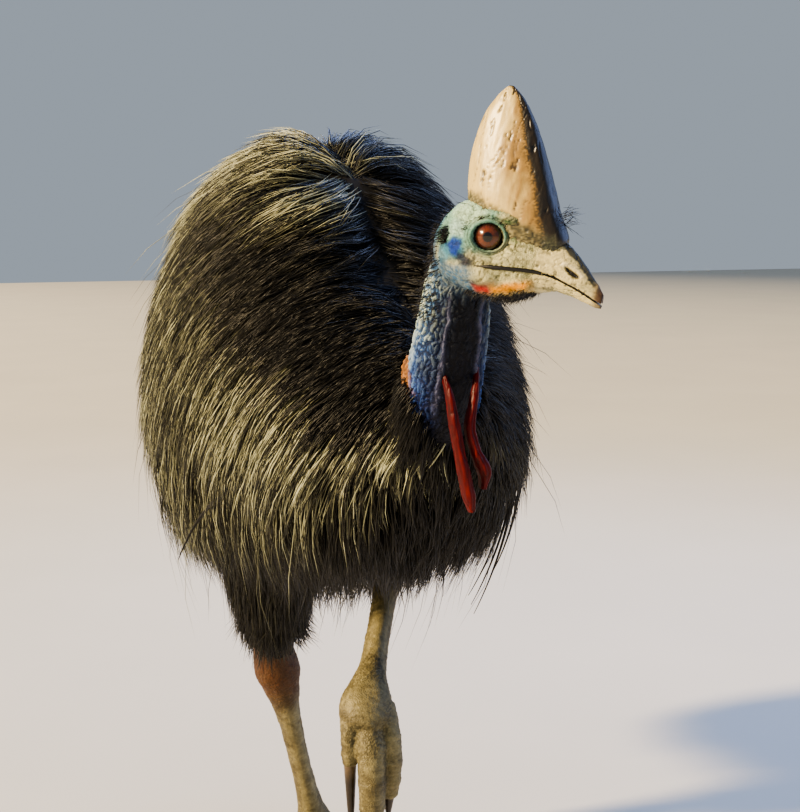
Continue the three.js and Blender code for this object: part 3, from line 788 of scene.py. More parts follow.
@dataclass
class Tufts:
    """Middle lines of tufts, each with its ways out, which become bundles of tapered strands."""

    lines: Array  # (tufts, steps, 3)
    outs: Array
    worn: Array  # how light each tuft is, 0 to 1: bleaching, and in the body's coat painted light and shade too
    bake: Array  # (tufts, 2)
    half: Array  # half of a strand's width in each tuft, in metres

    def pick(self, chosen: Array) -> "Tufts":
        """Only the chosen tufts."""
        parts = (self.lines, self.outs, self.worn, self.bake, self.half)
        return Tufts(*(part[chosen] for part in parts))

    def strands(self, each: int, spread: float, draws: Draws, gather: float = 0.35) -> Shape:
        """Split every tuft into strands.

        Args:
            each: how many strands a tuft has.
            spread: how far its roots lie apart, in metres.
            draws: the seeded draws.
            gather: how far the strands of a tuft draw together towards the tip.

        Returns:
            All the strands in one mesh, with their colours and bake places.
        """
        lines = np.repeat(self.lines, each, axis=0)
        outs = np.repeat(self.outs, each, axis=0)
        count, steps, _ = lines.shape
        share = np.linspace(0, 1, steps)
        length = np.linalg.norm(np.diff(lines, axis=1), axis=2).sum(1)
        ahead = unit(np.gradient(lines, axis=1))
        across = unit(np.cross(ahead, outs))
        lift = np.cross(across, ahead)
        aside, over, along = draws.normal(0, 1, (3, count, 1, 1))
        shrink = (1 - gather * share)[None, :, None]
        late = (share**2)[None, :, None]
        curl = draws.normal(0, 0.05, (count, 1, 1)) * length[:, None, None] * late
        rise = draws.normal(0, 0.014, (count, 1, 1)) * length[:, None, None] * late
        lines = lines + across * (aside * spread * shrink + curl)
        lines = lines + lift * (over * spread * 0.25 * share[None, :, None] + rise)
        lines = lines + ahead * along * spread * 1.2
        root = lines[:, :1]
        lines = root + (lines - root) * draws.uniform(0.72, 1.12, (count, 1, 1))
        width = np.interp(share, [0, 0.25, 0.65, 1], [0.6, 1.0, 0.8, 0.0])[None, :, None]
        half = (np.repeat(self.half, each) * draws.uniform(0.7, 1.3, count))[:, None, None]
        lean = draws.normal(0, 0.35, (count, 1, 1))
        flat = unit(across + lift * lean)
        over_way = np.cross(flat, ahead)
        rings = [lines + flat * (half * width * a) + over_way * (half * width * b) for a, b in BLADE]
        body = np.stack([ring[:, :-1] for ring in rings], axis=2).reshape(count, -1, 3)
        points = np.concatenate([body, lines[:, -1:]], axis=1)
        per = points.shape[1]
        one = []
        for k in range(steps - 2):
            for a in range(3):
                b = (a + 1) % 3
                low, high = 3 * k, 3 * k + 3
                one += [(low + a, low + b, high + b), (low + a, high + b, high + a)]
        top = 3 * (steps - 2)
        one += [(top + a, top + (a + 1) % 3, per - 1) for a in range(3)] + [(2, 1, 0)]
        triangles = (np.array(one)[None] + (np.arange(count) * per)[:, None, None]).reshape(-1, 3)
        # Each strand's lightness from black to straw: sun-bleaching with painted light and shade from its
        # tuft, varied at random
        bleach_and_light = np.clip(np.repeat(self.worn, each) * (0.15 + 1.7 * draws.random(count) ** 1.3), 0, 1)
        ramp = np.array([linear(code) for code in STRAW])
        stops = np.linspace(0, 1, len(ramp))
        colour = grid(*(np.interp(bleach_and_light, stops, ramp[:, k]) for k in range(3)))
        corner_v = np.concatenate([np.repeat(share[:-1], 3), [1.0]])
        colours = np.clip(colour[:, None] * (0.5 + 0.8 * corner_v[None, :, None]), 0, 1)
        corner_u = np.concatenate([np.tile([0.0, 1.0, 0.5], steps - 1), [0.5]])
        patch = grid(corner_u, corner_v)[None] * PATCH
        bake = np.repeat(self.bake, each, axis=0)[:, None] * (1 - PATCH) + patch
        shape = Shape(points.reshape(-1, 3), triangles, colours.reshape(-1, 3), bake.reshape(-1, 2))
        return shape.outward()


@dataclass
class Coat:
    """The body's plumage, which lies outwards, backwards and down from the ridge and hangs below."""

    trunk: Trunk
    seed: int = 11
    tufts: int = 14000
    each: int = 5  # strands in a tuft
    spread: float = 5.2 * MM  # how far a tuft's roots lie apart
    half: float = 0.88 * MM  # half of a strand's width
    gather: float = 0.6  # how far a tuft's strands draw together
    longest: float = 122 * MM
    steps: int = 4  # points along a strand
    lie: Triple = (0.46, 0.64, -1.08)  # outwards, backwards, up
    parting: float = 40.0  # the outward lie begins within this angle of the ridge
    hang_from: float = 106.0  # below this angle from the top the strands hang
    fall: Triple = (-0.08, 0.3, -0.95)  # the way that they hang
    wisps: int = 520  # tufts that are repeated as loose strands
    wisp_lift: Triple = (0.003, 0.009, 0.016)  # how far their points stand out
    bounds: tuple[float, float] = (0.26, 0.35)  # no loose tip lies further aside or back than this

    def worn(self, roots: Array, angle: Array) -> Array:
        """How light each tuft is: sun-bleaching, with painted light and shade.

        Args:
            roots: the tufts' roots, in metres.
            angle: their angles from the ridge of the back, in degrees.

        Returns:
            A share for each tuft, from black to straw.
        """
        y = roots[:, 1]
        # The flanks and the outside of the back are lighter than below, from sun-bleaching and painted
        # light, with a painted highlight where they bulge beside the neck
        high = 0.3 + 0.34 * smoothstep(angle, 158, 118)
        high = high + 0.12 * smoothstep(y, -0.16, -0.02) * smoothstep(angle, 110, 90)
        bulge = np.hypot((y + 0.37) / 0.17, (angle - 84) / 30)
        high = high + 0.26 * smoothstep(bulge, 1.0, 0.3)
        high = high + 0.26 * smoothstep(y, -0.32, -0.2) * smoothstep(angle, 46, 22)
        # Painted shade: the hollow behind the neck stays black, and so does a band on the side of the back;
        # the breast is darkened too
        reach = 38 + 34 * smoothstep(y, -0.42, -0.54)
        hollow = smoothstep(y, -0.33, -0.44) * smoothstep(angle, reach + 16, reach)
        above = (36 - angle) * (1 - 0.8 * smoothstep(y, -0.25, -0.33))
        gap = np.where(angle < 36, above, angle - 36)
        band = bell(gap, 0, 21) * smoothstep(y, 0.0, -0.2)
        breast = smoothstep(angle, 112, 140) * smoothstep(y, -0.2, -0.42)
        painted_shading = (1 - 0.95 * hollow) * (1 - 0.6 * band) * (1 - 0.8 * breast)
        # A painted highlight of a few light tips follows the ridge on the right side, and painted shade
        # makes the left side darker than the right
        crest = 0.1 * smoothstep(angle, 7, 3) * smoothstep(y, -0.16, -0.26) * (roots[:, 0] < 0)
        shaded = 0.5 + 0.36 * smoothstep(angle, 75, 40)
        far = 1 - shaded * smoothstep(roots[:, 0], -0.003, 0.014)
        patches = 0.2 * cloud(roots, 0.16, 3) + 0.1 * cloud(roots, 0.03, 4)
        return np.clip((high + patches) * painted_shading * far + crest, 0.03, 1)

    def lying(
        self, roots: Array, angle: Array, side: Array, length: Array, draws: Draws
    ) -> tuple[Array, Array]:
        """Follow the body from each root, rising from the core to the outside.

        Args:
            roots: the tufts' roots.
            angle: their angles from the ridge, in degrees.
            side: their sides, as signs.
            length: their lengths, in metres.
            draws: the seeded draws.

        Returns:
            The tufts' middle lines, and the ways out along them.
        """
        out_share = smoothstep(angle, -self.parting / 2, self.parting)
        back = self.lie[1] - 0.34 * smoothstep(angle, 42, 88)
        lie = grid(side * self.lie[0] * out_share, back, self.lie[2])
        sway = 0.16 * cloud(roots, 0.07, 5) + draws.normal(0, 0.07, len(roots))
        turned = grid(lie[:, 0], lie[:, 1] - sway * lie[:, 2], lie[:, 2] + sway * lie[:, 1])
        crest = smoothstep(angle, 10, 2)
        proud = smoothstep(roots[:, 1], 0.24, 0.06)
        proud = (0.12 * crest + 0.26 * smoothstep(angle, 52, 22)) * proud
        tip = draws.uniform(0.72, 1.03, len(roots)) + proud
        points, lines, outs = roots, [], []
        for k in range(self.steps):
            t = k / (self.steps - 1)
            points, out = self.trunk.settle(points, -0.08 + (tip + 0.08) * (1 - (1 - t) ** 1.8))
            lines.append(points)
            outs.append(out)
            way = unit(turned - out * np.einsum("ij,ij->i", turned, out)[:, None])
            points = points + way * (length / (self.steps - 1))[:, None]
        return np.stack(lines, 1), np.stack(outs, 1)

    def hanging(self, roots: Array, side: Array, length: Array, draws: Draws) -> tuple[Array, Array]:
        """Hang strands from the core's underside to the skirt's edge.

        Args:
            roots: the tufts' roots.
            side: their sides, as signs.
            length: their lengths, in metres.
            draws: the seeded draws.

        Returns:
            The tufts' middle lines, and the ways out along them.
        """
        roots, out = self.trunk.settle(roots, np.zeros(len(roots)))
        fall = grid(side * self.fall[0], *self.fall[1:])
        fall = unit(fall + draws.normal(0, 0.09, fall.shape))
        reach = np.full(len(roots), 0.05)
        for step in np.arange(0.05, 0.24, 0.006):
            inside = self.trunk.reach_of(self.trunk.outside, roots + fall * step) < 1.03
            reach = np.where(inside, step, reach)
        reach = np.minimum(reach, length * 1.5) * draws.uniform(0.8, 1.16, len(roots))
        share = np.linspace(0, 1, self.steps)[None, :, None]
        bow = out * (0.09 * reach)[:, None]
        lines = roots[:, None] + fall[:, None] * reach[:, None, None] * share
        lines = lines + bow[:, None] * (share * (1 - share) * 4)
        outs = np.repeat(unit(out + fall * 0.2)[:, None], self.steps, axis=1)
        return lines, outs

    def grow(self, draws: Draws) -> tuple[Tufts, Array, Array]:
        """Root every tuft of the trunk.

        Args:
            draws: the seeded draws.

        Returns:
            The tufts, their angles from the ridge, and their sides.
        """
        roots, angle, side = self.trunk.roots(self.tufts, draws)
        half = self.trunk.section(self.trunk.core, roots[:, 1])[1]
        length = np.clip(half * 0.8, 0.05, self.longest) * draws.uniform(0.75, 1.2, len(roots))
        low = angle > self.hang_from + draws.normal(0, 6, len(angle))
        lines = np.empty((len(roots), self.steps, 3))
        outs = np.empty_like(lines)
        lines[~low], outs[~low] = self.lying(roots[~low], angle[~low], side[~low], length[~low], draws)
        lines[low], outs[low] = self.hanging(roots[low], side[low], length[low], draws)
        ends = self.trunk.core[[0, -1], 0]
        bake = grid(angle / 180, (roots[:, 1] - ends[0]) / (ends[1] - ends[0]))
        half = np.full(len(roots), self.half)
        return Tufts(lines, outs, self.worn(roots, angle), bake, half), angle, side

    def dress(self, finish: Material, neck: "Neck") -> None:
        """Make the coat's pieces, one for each zone and side.

        Args:
            finish: the plumage's material.
            neck: the neck, which no strand crosses.
        """
        draws = np.random.default_rng(self.seed)
        tufts, angle, side = self.grow(draws)
        free = ~neck.covers(tufts.lines[:, 1:].reshape(-1, 3)).reshape(len(angle), -1).any(1)
        rump = tufts.lines[:, 0, 1] > 0.17
        for where in Side:
            zones = {
                Zone.BACK: (angle < 48) & ~rump,
                Zone.FLANK: (angle >= 48) & (angle < 95) & ~rump,
                Zone.SKIRT: (angle >= 95) & (angle < 138) & ~rump,
                Zone.BELLY: (angle >= 138) & ~rump,
                Zone.RUMP: rump,
            }
            for zone, mask in zones.items():
                chosen = tufts.pick(mask & free & (side == where.value))
                each = self.each - (zone is Zone.BELLY)
                shape = chosen.strands(each, self.spread, draws, self.gather)
                place(f"coat_{zone.value}_{where.word}", shape, [finish], "plumage")
        loose = tufts.pick(draws.choice(np.flatnonzero(free & (angle > 15)), self.wisps, replace=False))
        root = loose.lines[:, :1]
        loose.lines = root + (loose.lines - root) * draws.uniform(1.2, 1.75, (self.wisps, 1, 1))
        loose.lines[:, 1:] += loose.outs[:, 1:] * np.array(self.wisp_lift)[None, :, None]
        tips = loose.lines[:, -1] - np.array([self.trunk.midline * MM, 0, 0])
        loose = loose.pick((np.abs(tips[:, 0]) < self.bounds[0]) & (tips[:, 1] < self.bounds[1]))
        loose.half = loose.half * 0.7
        place("coat_wisps", loose.strands(1, 1 * MM, draws), [finish], "plumage")


@dataclass
class Neck:
    """The bare neck, and the line round it where the plumage begins."""

    limb: Limb = field(
        default_factory=lambda: Limb(
            (
                (-33, -732, 975, 26, 27),
                (-32, -712, 950, 30, 30),
                (-30, -686, 898, 35, 34),
                (-25, -646, 833, 39, 41),
                (-14, -603, 785, 40, 42),
                (-4, -548, 748, 36, 38),
            )
        )
    )
    # The height of the plumage's edge, by how far round a point lies: -1 at the nape and 1 at the throat
    edge: Sequence = ((-1.0, -0.2, 0.2, 0.8, 1.0), (846, 840, 829, 796, 757))
    seed: int = 12
    strands: int = 2700
    steps: int = 4  # points along a strand
    reach: tuple[float, float] = (0.028, 0.06)  # the strands' least and greatest length

    def bare(self, points: Array) -> Array:
        """How far points lie above the plumage's edge, in metres.

        Args:
            points: the points, in metres.

        Returns:
            One height for each point.
        """
        _, wide, front, _ = self.limb.locate(points)
        facing = front / np.maximum(np.hypot(wide, front), 1e-6)
        return points[:, 2] - np.interp(facing, *self.edge) * MM

    def covers(self, points: Array) -> Array:
        """Whether points lie in the bare part of the neck."""
        _, _, _, out = self.limb.locate(points)
        return (out < 1.02) & (self.bare(points) > 0.004)

    def collar(self, finish: Material) -> None:
        """Strands that root on the neck below the plumage's edge and sweep back over the shoulders.

        Args:
            finish: the plumage's material.
        """
        draws = np.random.default_rng(self.seed)
        count = self.strands
        shares = draws.uniform(0.45, 0.98, count)
        turn = draws.uniform(0, 2 * math.pi, count)
        centre, half, across, deep, ahead = self.limb.frame(shares)
        radial = across * np.sin(turn)[:, None] + deep * np.cos(turn)[:, None]
        roots = centre + across * (np.sin(turn) * half[:, 0] * 0.95)[:, None]
        roots = roots + deep * (np.cos(turn) * half[:, 1] * 0.95)[:, None]
        height = self.bare(roots)
        kept = (height < 0) & (draws.random(count) < 0.35 + 0.65 * smoothstep(height, -0.05, -0.004))
        roots, radial, ahead, height = roots[kept], radial[kept], ahead[kept], height[kept]
        count = len(roots)
        lean = np.array([0.0, 0.2, -0.55])
        flow = unit(ahead * 0.85 + radial * 0.2 + lean + draws.normal(0, 0.09, (count, 3)))
        length = draws.uniform(*self.reach, count) * (0.55 + 0.45 * smoothstep(height, 0, -0.03))
        share = np.linspace(0, 1, self.steps)[None, :, None]
        lines = roots[:, None] + flow[:, None] * length[:, None, None] * share
        lines = lines + radial[:, None] * 0.011 * (1 - (1 - share) ** 2)
        outs = np.repeat(radial[:, None], self.steps, axis=1)
        # Painted shade: the strands towards the throat are darker
        front = smoothstep(roots[:, 1], -0.6, -0.64)
        bake = grid(turn[kept] / (2 * math.pi), shares[kept])
        tufts = Tufts(lines, outs, 0.55 - 0.5 * front, bake, np.full(count, 0.75 * MM))
        place("coat_collar", tufts.strands(3, 2.4 * MM, draws), [finish], "plumage")


@dataclass
class Head:
    """The head in its own frame: +X to the bill tip, +Y to the left, +Z up, origin between the eyes."""

    origin: Triple = (-14.0, -760.0, 982.0)
    yaw: float = -49.0
    pitch: float = 12.0
    bill_root: float = 50.0
    eye_spread: float = 17.5
    eye_radius: float = 15.5
    eye_turn: float = 20.0  # how far the eyes look forward of straight out
    opening: tuple[float, float] = (14.4, 12.6)  # half the width and height between the lids
    lid_plane: float = 10.4  # how far the lids lie out from the eye's middle
    seed: int = 17
    front_tuft: int = 46  # bristles before the casque's foot
    # From the nape to the bill tip, as (x, top, bottom, half width)
    line: Sequence = (
        (-61, -8, -26, 9),
        (-55, 8, -40, 20),
        (-42, 24, -52, 28),
        (-22, 33, -57, 32),
        (0, 32, -58, 32),
        (20, 25, -57, 28),
        (36, 18, -54, 23),
        (50, 13, -45, 18),
        (68, 10, -39, 13.5),
        (83, 0, -39, 11),
        (97, -12, -41, 8.5),
        (110, -23.5, -44, 5.5),
        (116, -31, -44, 2.5),
    )
    # The jaw's lower edge, as rows of x and z
    jaw: Sequence = ((-20, 0, 20, 45, 70), (-52, -50, -47, -38, -34))
    mouth: Sequence = (
        (-5, -29),
        (9, -27),
        (28, -25),
        (50, -23),
        (68, -24.5),
        (82, -28),
        (97, -32.5),
        (112, -38.5),
        (125, -44),
    )
    # From inside the skull to the tip, as (z, rear x, front x, half thickness)
    casque_line: Sequence = (
        (-12, -14, 62, 17),
        (8, -31, 71, 23),
        (34, -38, 57, 23),
        (62, -42, 42.5, 19),
        (87, -41, 28.5, 14.5),
        (110, -35.5, 15.5, 10),
        (126, -27, 3, 6),
        (134, -21, -6, 3.5),
        (138, -17, -12, 1.5),
    )

    def turn(self) -> Array:
        """The rotation from the head's frame to the model's.

        Returns:
            A matrix that turns columns of the head's frame.
        """
        yaw, pitch = math.radians(self.yaw), math.radians(self.pitch)
        cosine, sine = math.cos(yaw), math.sin(yaw)
        about_z = np.array([[cosine, -sine, 0], [sine, cosine, 0], [0, 0, 1]])
        cosine, sine = math.cos(pitch), math.sin(pitch)
        about_y = np.array([[cosine, 0, sine], [0, 1, 0], [-sine, 0, cosine]])
        return about_z @ about_y

    def out(self, points: Array) -> Array:
        """Take points in the head's millimetres to the model's metres."""
        return (points @ self.turn().T + np.array(self.origin)) * MM

    def local(self, points: Array) -> Array:
        """Take points in the model's metres to the head's millimetres."""
        return (points / MM - np.array(self.origin)) @ self.turn()

    def eye_axis(self, side: Array) -> Array:
        """The way that the eye of each side looks, in the head's own frame.

        Args:
            side: the sides, as signs.

        Returns:
            One unit vector for each side.
        """
        turn = math.radians(self.eye_turn)
        return grid(math.sin(turn), side * math.cos(turn), 0.0)

    def round_eye(self, local: Array) -> tuple[Array, ...]:
        """Find where points lie before the nearer eye.

        Args:
            local: points in the head's own frame, in millimetres.

        Returns:
            How far forward and up they lie, how far out from the eye's middle, and how far from its axis, in
            half widths of the opening between the lids.
        """
        side = np.where(local[:, 1] < 0, -1.0, 1.0)
        axis = self.eye_axis(side)
        away = local - grid(0.0, side * self.eye_spread, 0.0)
        depth = np.einsum("ij,ij->i", away, axis)
        forward = away[:, 0] * math.cos(math.radians(self.eye_turn))
        forward = forward - side * away[:, 1] * math.sin(math.radians(self.eye_turn))
        up = away[:, 2]
        return forward, up, depth, np.hypot(forward / self.opening[0], up / self.opening[1])

    def sections(self, x: Array) -> tuple[Array, Array, Array]:
        """The skull's middle height, half width and half height at places along it.

        Args:
            x: the places, in millimetres.

        Returns:
            The three measures at each place.
        """
        rows = np.array(self.line, float)
        share = np.interp(x, rows[:, 0], np.linspace(0, 1, len(rows)))
        _, top, bottom, half = between(rows, share).T
        return (top + bottom) / 2, np.maximum(half, 0.5), np.maximum((top - bottom) / 2, 0.5)

    def wall(self, x: Array, z: Array) -> Array:
        """The skull's half width at places along it and heights."""
        middle, half, tall = self.sections(x)
        return half * np.sqrt(np.clip(1 - ((z - middle) / tall) ** 2, 0, 1))

    def closed(self, rings: Array) -> Shape:
        """Close a surface through rings that are given in the head's own frame."""
        return loft(self.out(rings.reshape(-1, 3)).reshape(rings.shape))

    def mouth_height(self, x: Array) -> Array:
        """The height of the mouth line at places along the head."""
        rows = np.array(self.mouth, float)
        return between(rows, np.interp(x, rows[:, 0], np.linspace(0, 1, len(rows))))[:, 1]

    def skull(self) -> list[Shape]:
        """The closed shapes that the head's skin is melted from, with its brows, cheeks and jaws.

        Returns:
            The shapes, which overlap.
        """
        x = np.concatenate([np.linspace(-61, 50, 60), [54, 58]])
        middle, half, tall = self.sections(x)
        turn = circle(48)
        inset = np.where(x > 51, 1.2, 0.0)
        y = np.sin(turn) * (half - inset)[:, None]
        z = middle[:, None] + np.cos(turn) * (tall - inset)[:, None]
        shapes = [self.closed(grid(x[:, None], y, z))]
        for side in Side:
            shapes.append(self.lump((6, side.value * 21, 19), (23, 10, 6)))
            shapes.append(self.lump((-6, side.value * 22, -35), (27, 9.5, 11)))
            shapes.append(self.lump((32, side.value * 15, -38), (20, 8, 7)))
        return shapes

    def lump(self, centre: Sequence[float], half: Sequence[float]) -> Shape:
        """A rounded swelling, in the head's own frame."""
        return self.closed(np.array(centre) + ball(14, 24) * np.array(half))

    def sink_eyes(self, local: Array) -> tuple[Array, Array, Array]:
        """Shape the sockets and lids.

        Args:
            local: points of the skin in the head's own frame, in millimetres.

        Returns:
            The points with the sockets hollowed, and how far each lies on a lid and inside the opening.
        """
        _, up, depth, gap = self.round_eye(local)
        near = (depth > 3) & (np.abs(local[:, 1]) > 9)
        axis = self.eye_axis(np.where(local[:, 1] < 0, -1.0, 1.0))
        aim = self.lid_plane + 1.2 * (gap - 1)
        sunk = np.clip(aim - depth, -9, 2.5) * smoothstep(gap, 1.95, 1.25) * near
        lid = bell(gap, 1.14, 0.105) * near
        fold = bell(gap, 1.42, 0.05) * near * smoothstep(up, -4, 6)
        inside = smoothstep(gap, 1.03, 0.93) * near
        return local + axis * (sunk + 2.1 * lid - 1.0 * fold - 8 * inside)[:, None], lid, inside

    def casque(self) -> Shape:
        """The casque: a tall blade of horn with a flat front, a grain, chips and a scaly foot; its front
        face is dark, partly dark horn and partly painted shade.

        Returns:
            Its surface, with its colours.
        """
        z, rear, front, half = between(self.casque_line, np.linspace(0, 1, 170)).T
        turn = circle(140)
        chord = np.cos(turn)
        rear_side = np.sqrt(np.clip(1 - chord**2, 0, 1)) ** 0.9
        blunt = 1 - 0.5 * np.clip(chord, 0, 1) ** 1.7
        front_side = blunt * np.sqrt(np.clip(1 - ((chord - 0.9) / 0.1) ** 2, 0, 1))
        thick = np.where(chord < 0, rear_side, np.where(chord < 0.9, blunt, front_side))
        x = ((rear + front) / 2)[:, None] + ((front - rear) / 2)[:, None] * chord
        y = half[:, None] * thick * np.sign(np.sin(turn) + 1e-9)
        shape = loft(grid(x, y, z[:, None]))
        local = shape.points
        metres = local * MM
        grain = cloud(metres * np.array([1, 1, 0.16]), 3.6 * MM, 21, 3)
        chips = smoothstep(cloud(metres * np.array([1, 1, 0.26]), 4.4 * MM, 22, 3), 0.36, 0.5)
        worn = cloud(metres * np.array([1, 1, 0.5]), 30 * MM, 23, 2)
        cracks = creases(metres * np.array([1, 1, 0.22]), 11 * MM, 26, 0.05)
        base = local[:, 2] + 0.3 * local[:, 0] + 5 * cloud(metres, 7 * MM, 24)
        foot = smoothstep(base, 33, 21)
        scaly = pebbles(metres, 3.6 * MM, 25)
        middle = np.interp(local[:, 2], z, (rear + front) / 2)
        reach = np.interp(local[:, 2], z, (front - rear) / 2)
        chord_at = (local[:, 0] - middle) / np.maximum(reach, 1)
        edge = chord_at + 0.1 * cloud(metres * np.array([1, 1, 0.4]), 16 * MM, 28, 2)
        # Painted shade over darker horn: the front face, which turns away from the light, is made nearly
        # black
        face = smoothstep(edge, 0.6, 0.74)
        dots = smoothstep(pebbles(metres, 2.6 * MM, 27), 0.5, 0.1) * bell(edge, 0.66, 0.1)
        out = shape.normals()
        lift = 0.35 * grain - 0.8 * chips + 1.2 * worn - 0.5 * cracks
        lift = lift - foot * 1.1 * (1 - scaly) - 0.4 * dots
        points = local + out * (lift * smoothstep(local[:, 2], 139, 132))[:, None]
        colours = painted(
            plain("#d0b97b", len(local)),
            ("#8d6a38", smoothstep(0.35 * grain + 0.7 * worn + 1.3 * edge, 0.05, 0.75) * 0.85),
            ("#86683c", smoothstep(grain, 0.15, 0.7) * 0.35),
            ("#2a1d13", np.maximum(chips * 0.9, cracks * 0.6)),
            ("#06080c", face * (0.96 + 0.04 * grain)),
            ("#1d2018", dots * 0.8),
            ("#5b604a", foot * (0.45 + 0.3 * scaly)),
            ("#23281f", foot * (1 - scaly) * 0.9),
            ("#1d1a18", smoothstep(local[:, 2], 136, 138)),
        )
        return Shape(self.out(points), shape.triangles, colours)

    def bill(self, upper: bool) -> Shape:
        """One half of the horny bill, from inside the face to its tip.

        Args:
            upper: whether it is the upper half.

        Returns:
            Its surface, with its colours.
        """
        x = np.concatenate([np.linspace(self.bill_root - 9, 108, 120), np.linspace(108.5, 116, 18)])
        middle, half, tall = self.sections(x)
        gape = self.mouth_height(x) + (1.0 if upper else -1.0)
        sink = smoothstep(x, 53, 44) * 1.4
        half, tall = half - sink, tall - sink
        cosine = np.clip((gape - middle) / tall, -0.97, 0.97)
        limit = np.arccos(cosine)
        share = np.linspace(-1, 1, 70)[None]
        sweep = share * limit[:, None] if upper else math.pi + share * (math.pi - limit)[:, None]
        keel = 1 - 0.3 * np.clip(np.cos(sweep), 0, 1) ** 2 * smoothstep(x, 55, 75)[:, None]
        flare = 1 + 0.07 * bell(np.abs(share), 0.93, 0.06) * smoothstep(x, 50, 60)[:, None]
        y = np.sin(sweep) * half[:, None] * keel * flare
        z = middle[:, None] + np.cos(sweep) * tall[:, None]
        inner = np.linspace(0, 1, 14)[None, 1:-1]
        floor_y = y[:, -1:] + (y[:, :1] - y[:, -1:]) * inner
        arch = (0.8 if upper else -0.8) * np.sin(inner * math.pi)
        floor_z = gape[:, None] + arch
        ring_y, ring_z = np.hstack([y, floor_y]), np.hstack([z, floor_z])
        shape = loft(grid(x[:, None], ring_y, ring_z))
        local, out = shape.points, shape.normals()
        colours, relief = self.face_marks(local)
        lift = relief * smoothstep(local[:, 0], 113, 96)
        if upper:
            ahead = local[:, 0] - 85.5
            above = local[:, 2] + 17.5 + 0.42 * ahead
            slot = np.hypot(ahead / 7.6, (above - 0.02 * ahead**2) / 2.5)
            side_on = np.abs(local[:, 1]) > 2
            # The nostril slot is sunk, and painted black for the shade in its opening
            hole = smoothstep(slot, 1.15, 0.8) * side_on
            rim = np.hypot(ahead / 8.5, (above - 2.8) / 2.6) - 1
            brim = np.exp(-(rim**2) / 0.06) * side_on * (above > 1)
            swell = bell(np.hypot((ahead + 1) / 11, (above - 2) / 6), 0, 1) * side_on
            lift = lift - 3.4 * hole + 0.6 * brim + 1.0 * swell
            # Painted shade along the top of the bill, over its own darker horn
            middle_at, _, tall_at = self.sections(local[:, 0])
            below = middle_at + tall_at - local[:, 2] + 1.4 * cloud(local * MM, 6 * MM, 44, 2)
            dark_culmen_and_shade = smoothstep(below, 6.2, 3.4) * smoothstep(local[:, 0], 50, 62)
            dark_culmen_and_shade = dark_culmen_and_shade * smoothstep(local[:, 0], 112, 104)
            colours = painted(
                colours,
                ("#0a0908", hole),
                ("#e0d9bd", brim * 0.6 * (1 - hole)),
                ("#1b2226", dark_culmen_and_shade * 0.92),
            )
        tip = smoothstep(local[:, 0], 104, 113) * (0.9 if upper else 0.5)
        colours = painted(
            colours,
            ("#4f2817", tip),
            ("#1d120d", smoothstep(local[:, 0], 112.5, 116) * 0.7),
        )
        points = local + out * lift[:, None]
        return Shape(self.out(points), shape.triangles, colours)

    def face_marks(self, local: Array) -> tuple[Array, Array]:
        """The markings of the face and bill.

        Args:
            local: points in the head's own frame, in millimetres.

        Returns:
            Their colours, and how far the skin stands out there, in millimetres.
        """
        metres = local * MM
        true_x = local[:, 0]
        x = local[:, 0] + 2.4 * cloud(metres, 7 * MM, 31, 3)
        z = local[:, 2] + 2.4 * cloud(metres, 7 * MM, 32, 3)
        bill = smoothstep(true_x, 44, 56)
        plates = pebbles(metres * np.array([0.75, 1, 1]), 4.4 * MM, 33)
        plates = plates + (1 - plates) * spot(x, z, -22, 20, 34, 26) * 0.7
        fine = pebbles(metres, 1.9 * MM, 36)
        furrow = creases(metres * np.array([0.6, 1, 1]), 8 * MM, 37, 0.13)
        streak = creases(metres * np.array([0.3, 1, 1]), 5 * MM, 38, 0.1)
        pits = smoothstep(cloud(metres, 3.4 * MM, 34, 2), 0.22, 0.5)
        relief = (1 - bill) * (0.22 * plates + 0.34 * fine - 0.4 * furrow)
        relief = relief + 0.6 * cloud(metres, 8 * MM, 35, 2)
        relief = relief + bill * (0.12 * fine - 0.45 * streak) - 0.5 * pits * smoothstep(true_x, -5, 15)
        # Darker in the furrows, the streaks on the bill, the pits and the grooves between the pebbles
        darker_in_grooves = 0.45 * furrow * (1 - bill) + 0.35 * streak * bill + 0.55 * pits
        darker_in_grooves = darker_in_grooves + 0.2 * (1 - fine) * (1 - bill)
        patchy = 7 * cloud(metres, 9 * MM, 43, 3)
        shade = (0.72 + 0.28 * fine) * (1 - 0.3 * furrow)
        back = smoothstep(x, 18, 4) * smoothstep(z, -24, -8)
        shadow = smoothstep(x, 4, -12) * smoothstep(z, -28, -36)
        # The gold and rose edge of the lower jaw, and the dark throat under it
        lower_jaw = z < self.mouth_height(np.clip(x, -5, 120))
        jaw_edge = (z - np.interp(x, *self.jaw)) / 5.2
        gold = bell(jaw_edge, 0, 1) * smoothstep(x, 7, 16) * smoothstep(x, 54, 44) * lower_jaw
        rose = bell(jaw_edge, -0.2, 1) * smoothstep(x, -10, -3) * smoothstep(x, 16, 8) * lower_jaw
        throat = smoothstep(jaw_edge, -0.9, -1.7) * smoothstep(x, 60, 50) * smoothstep(x, -16, -4)
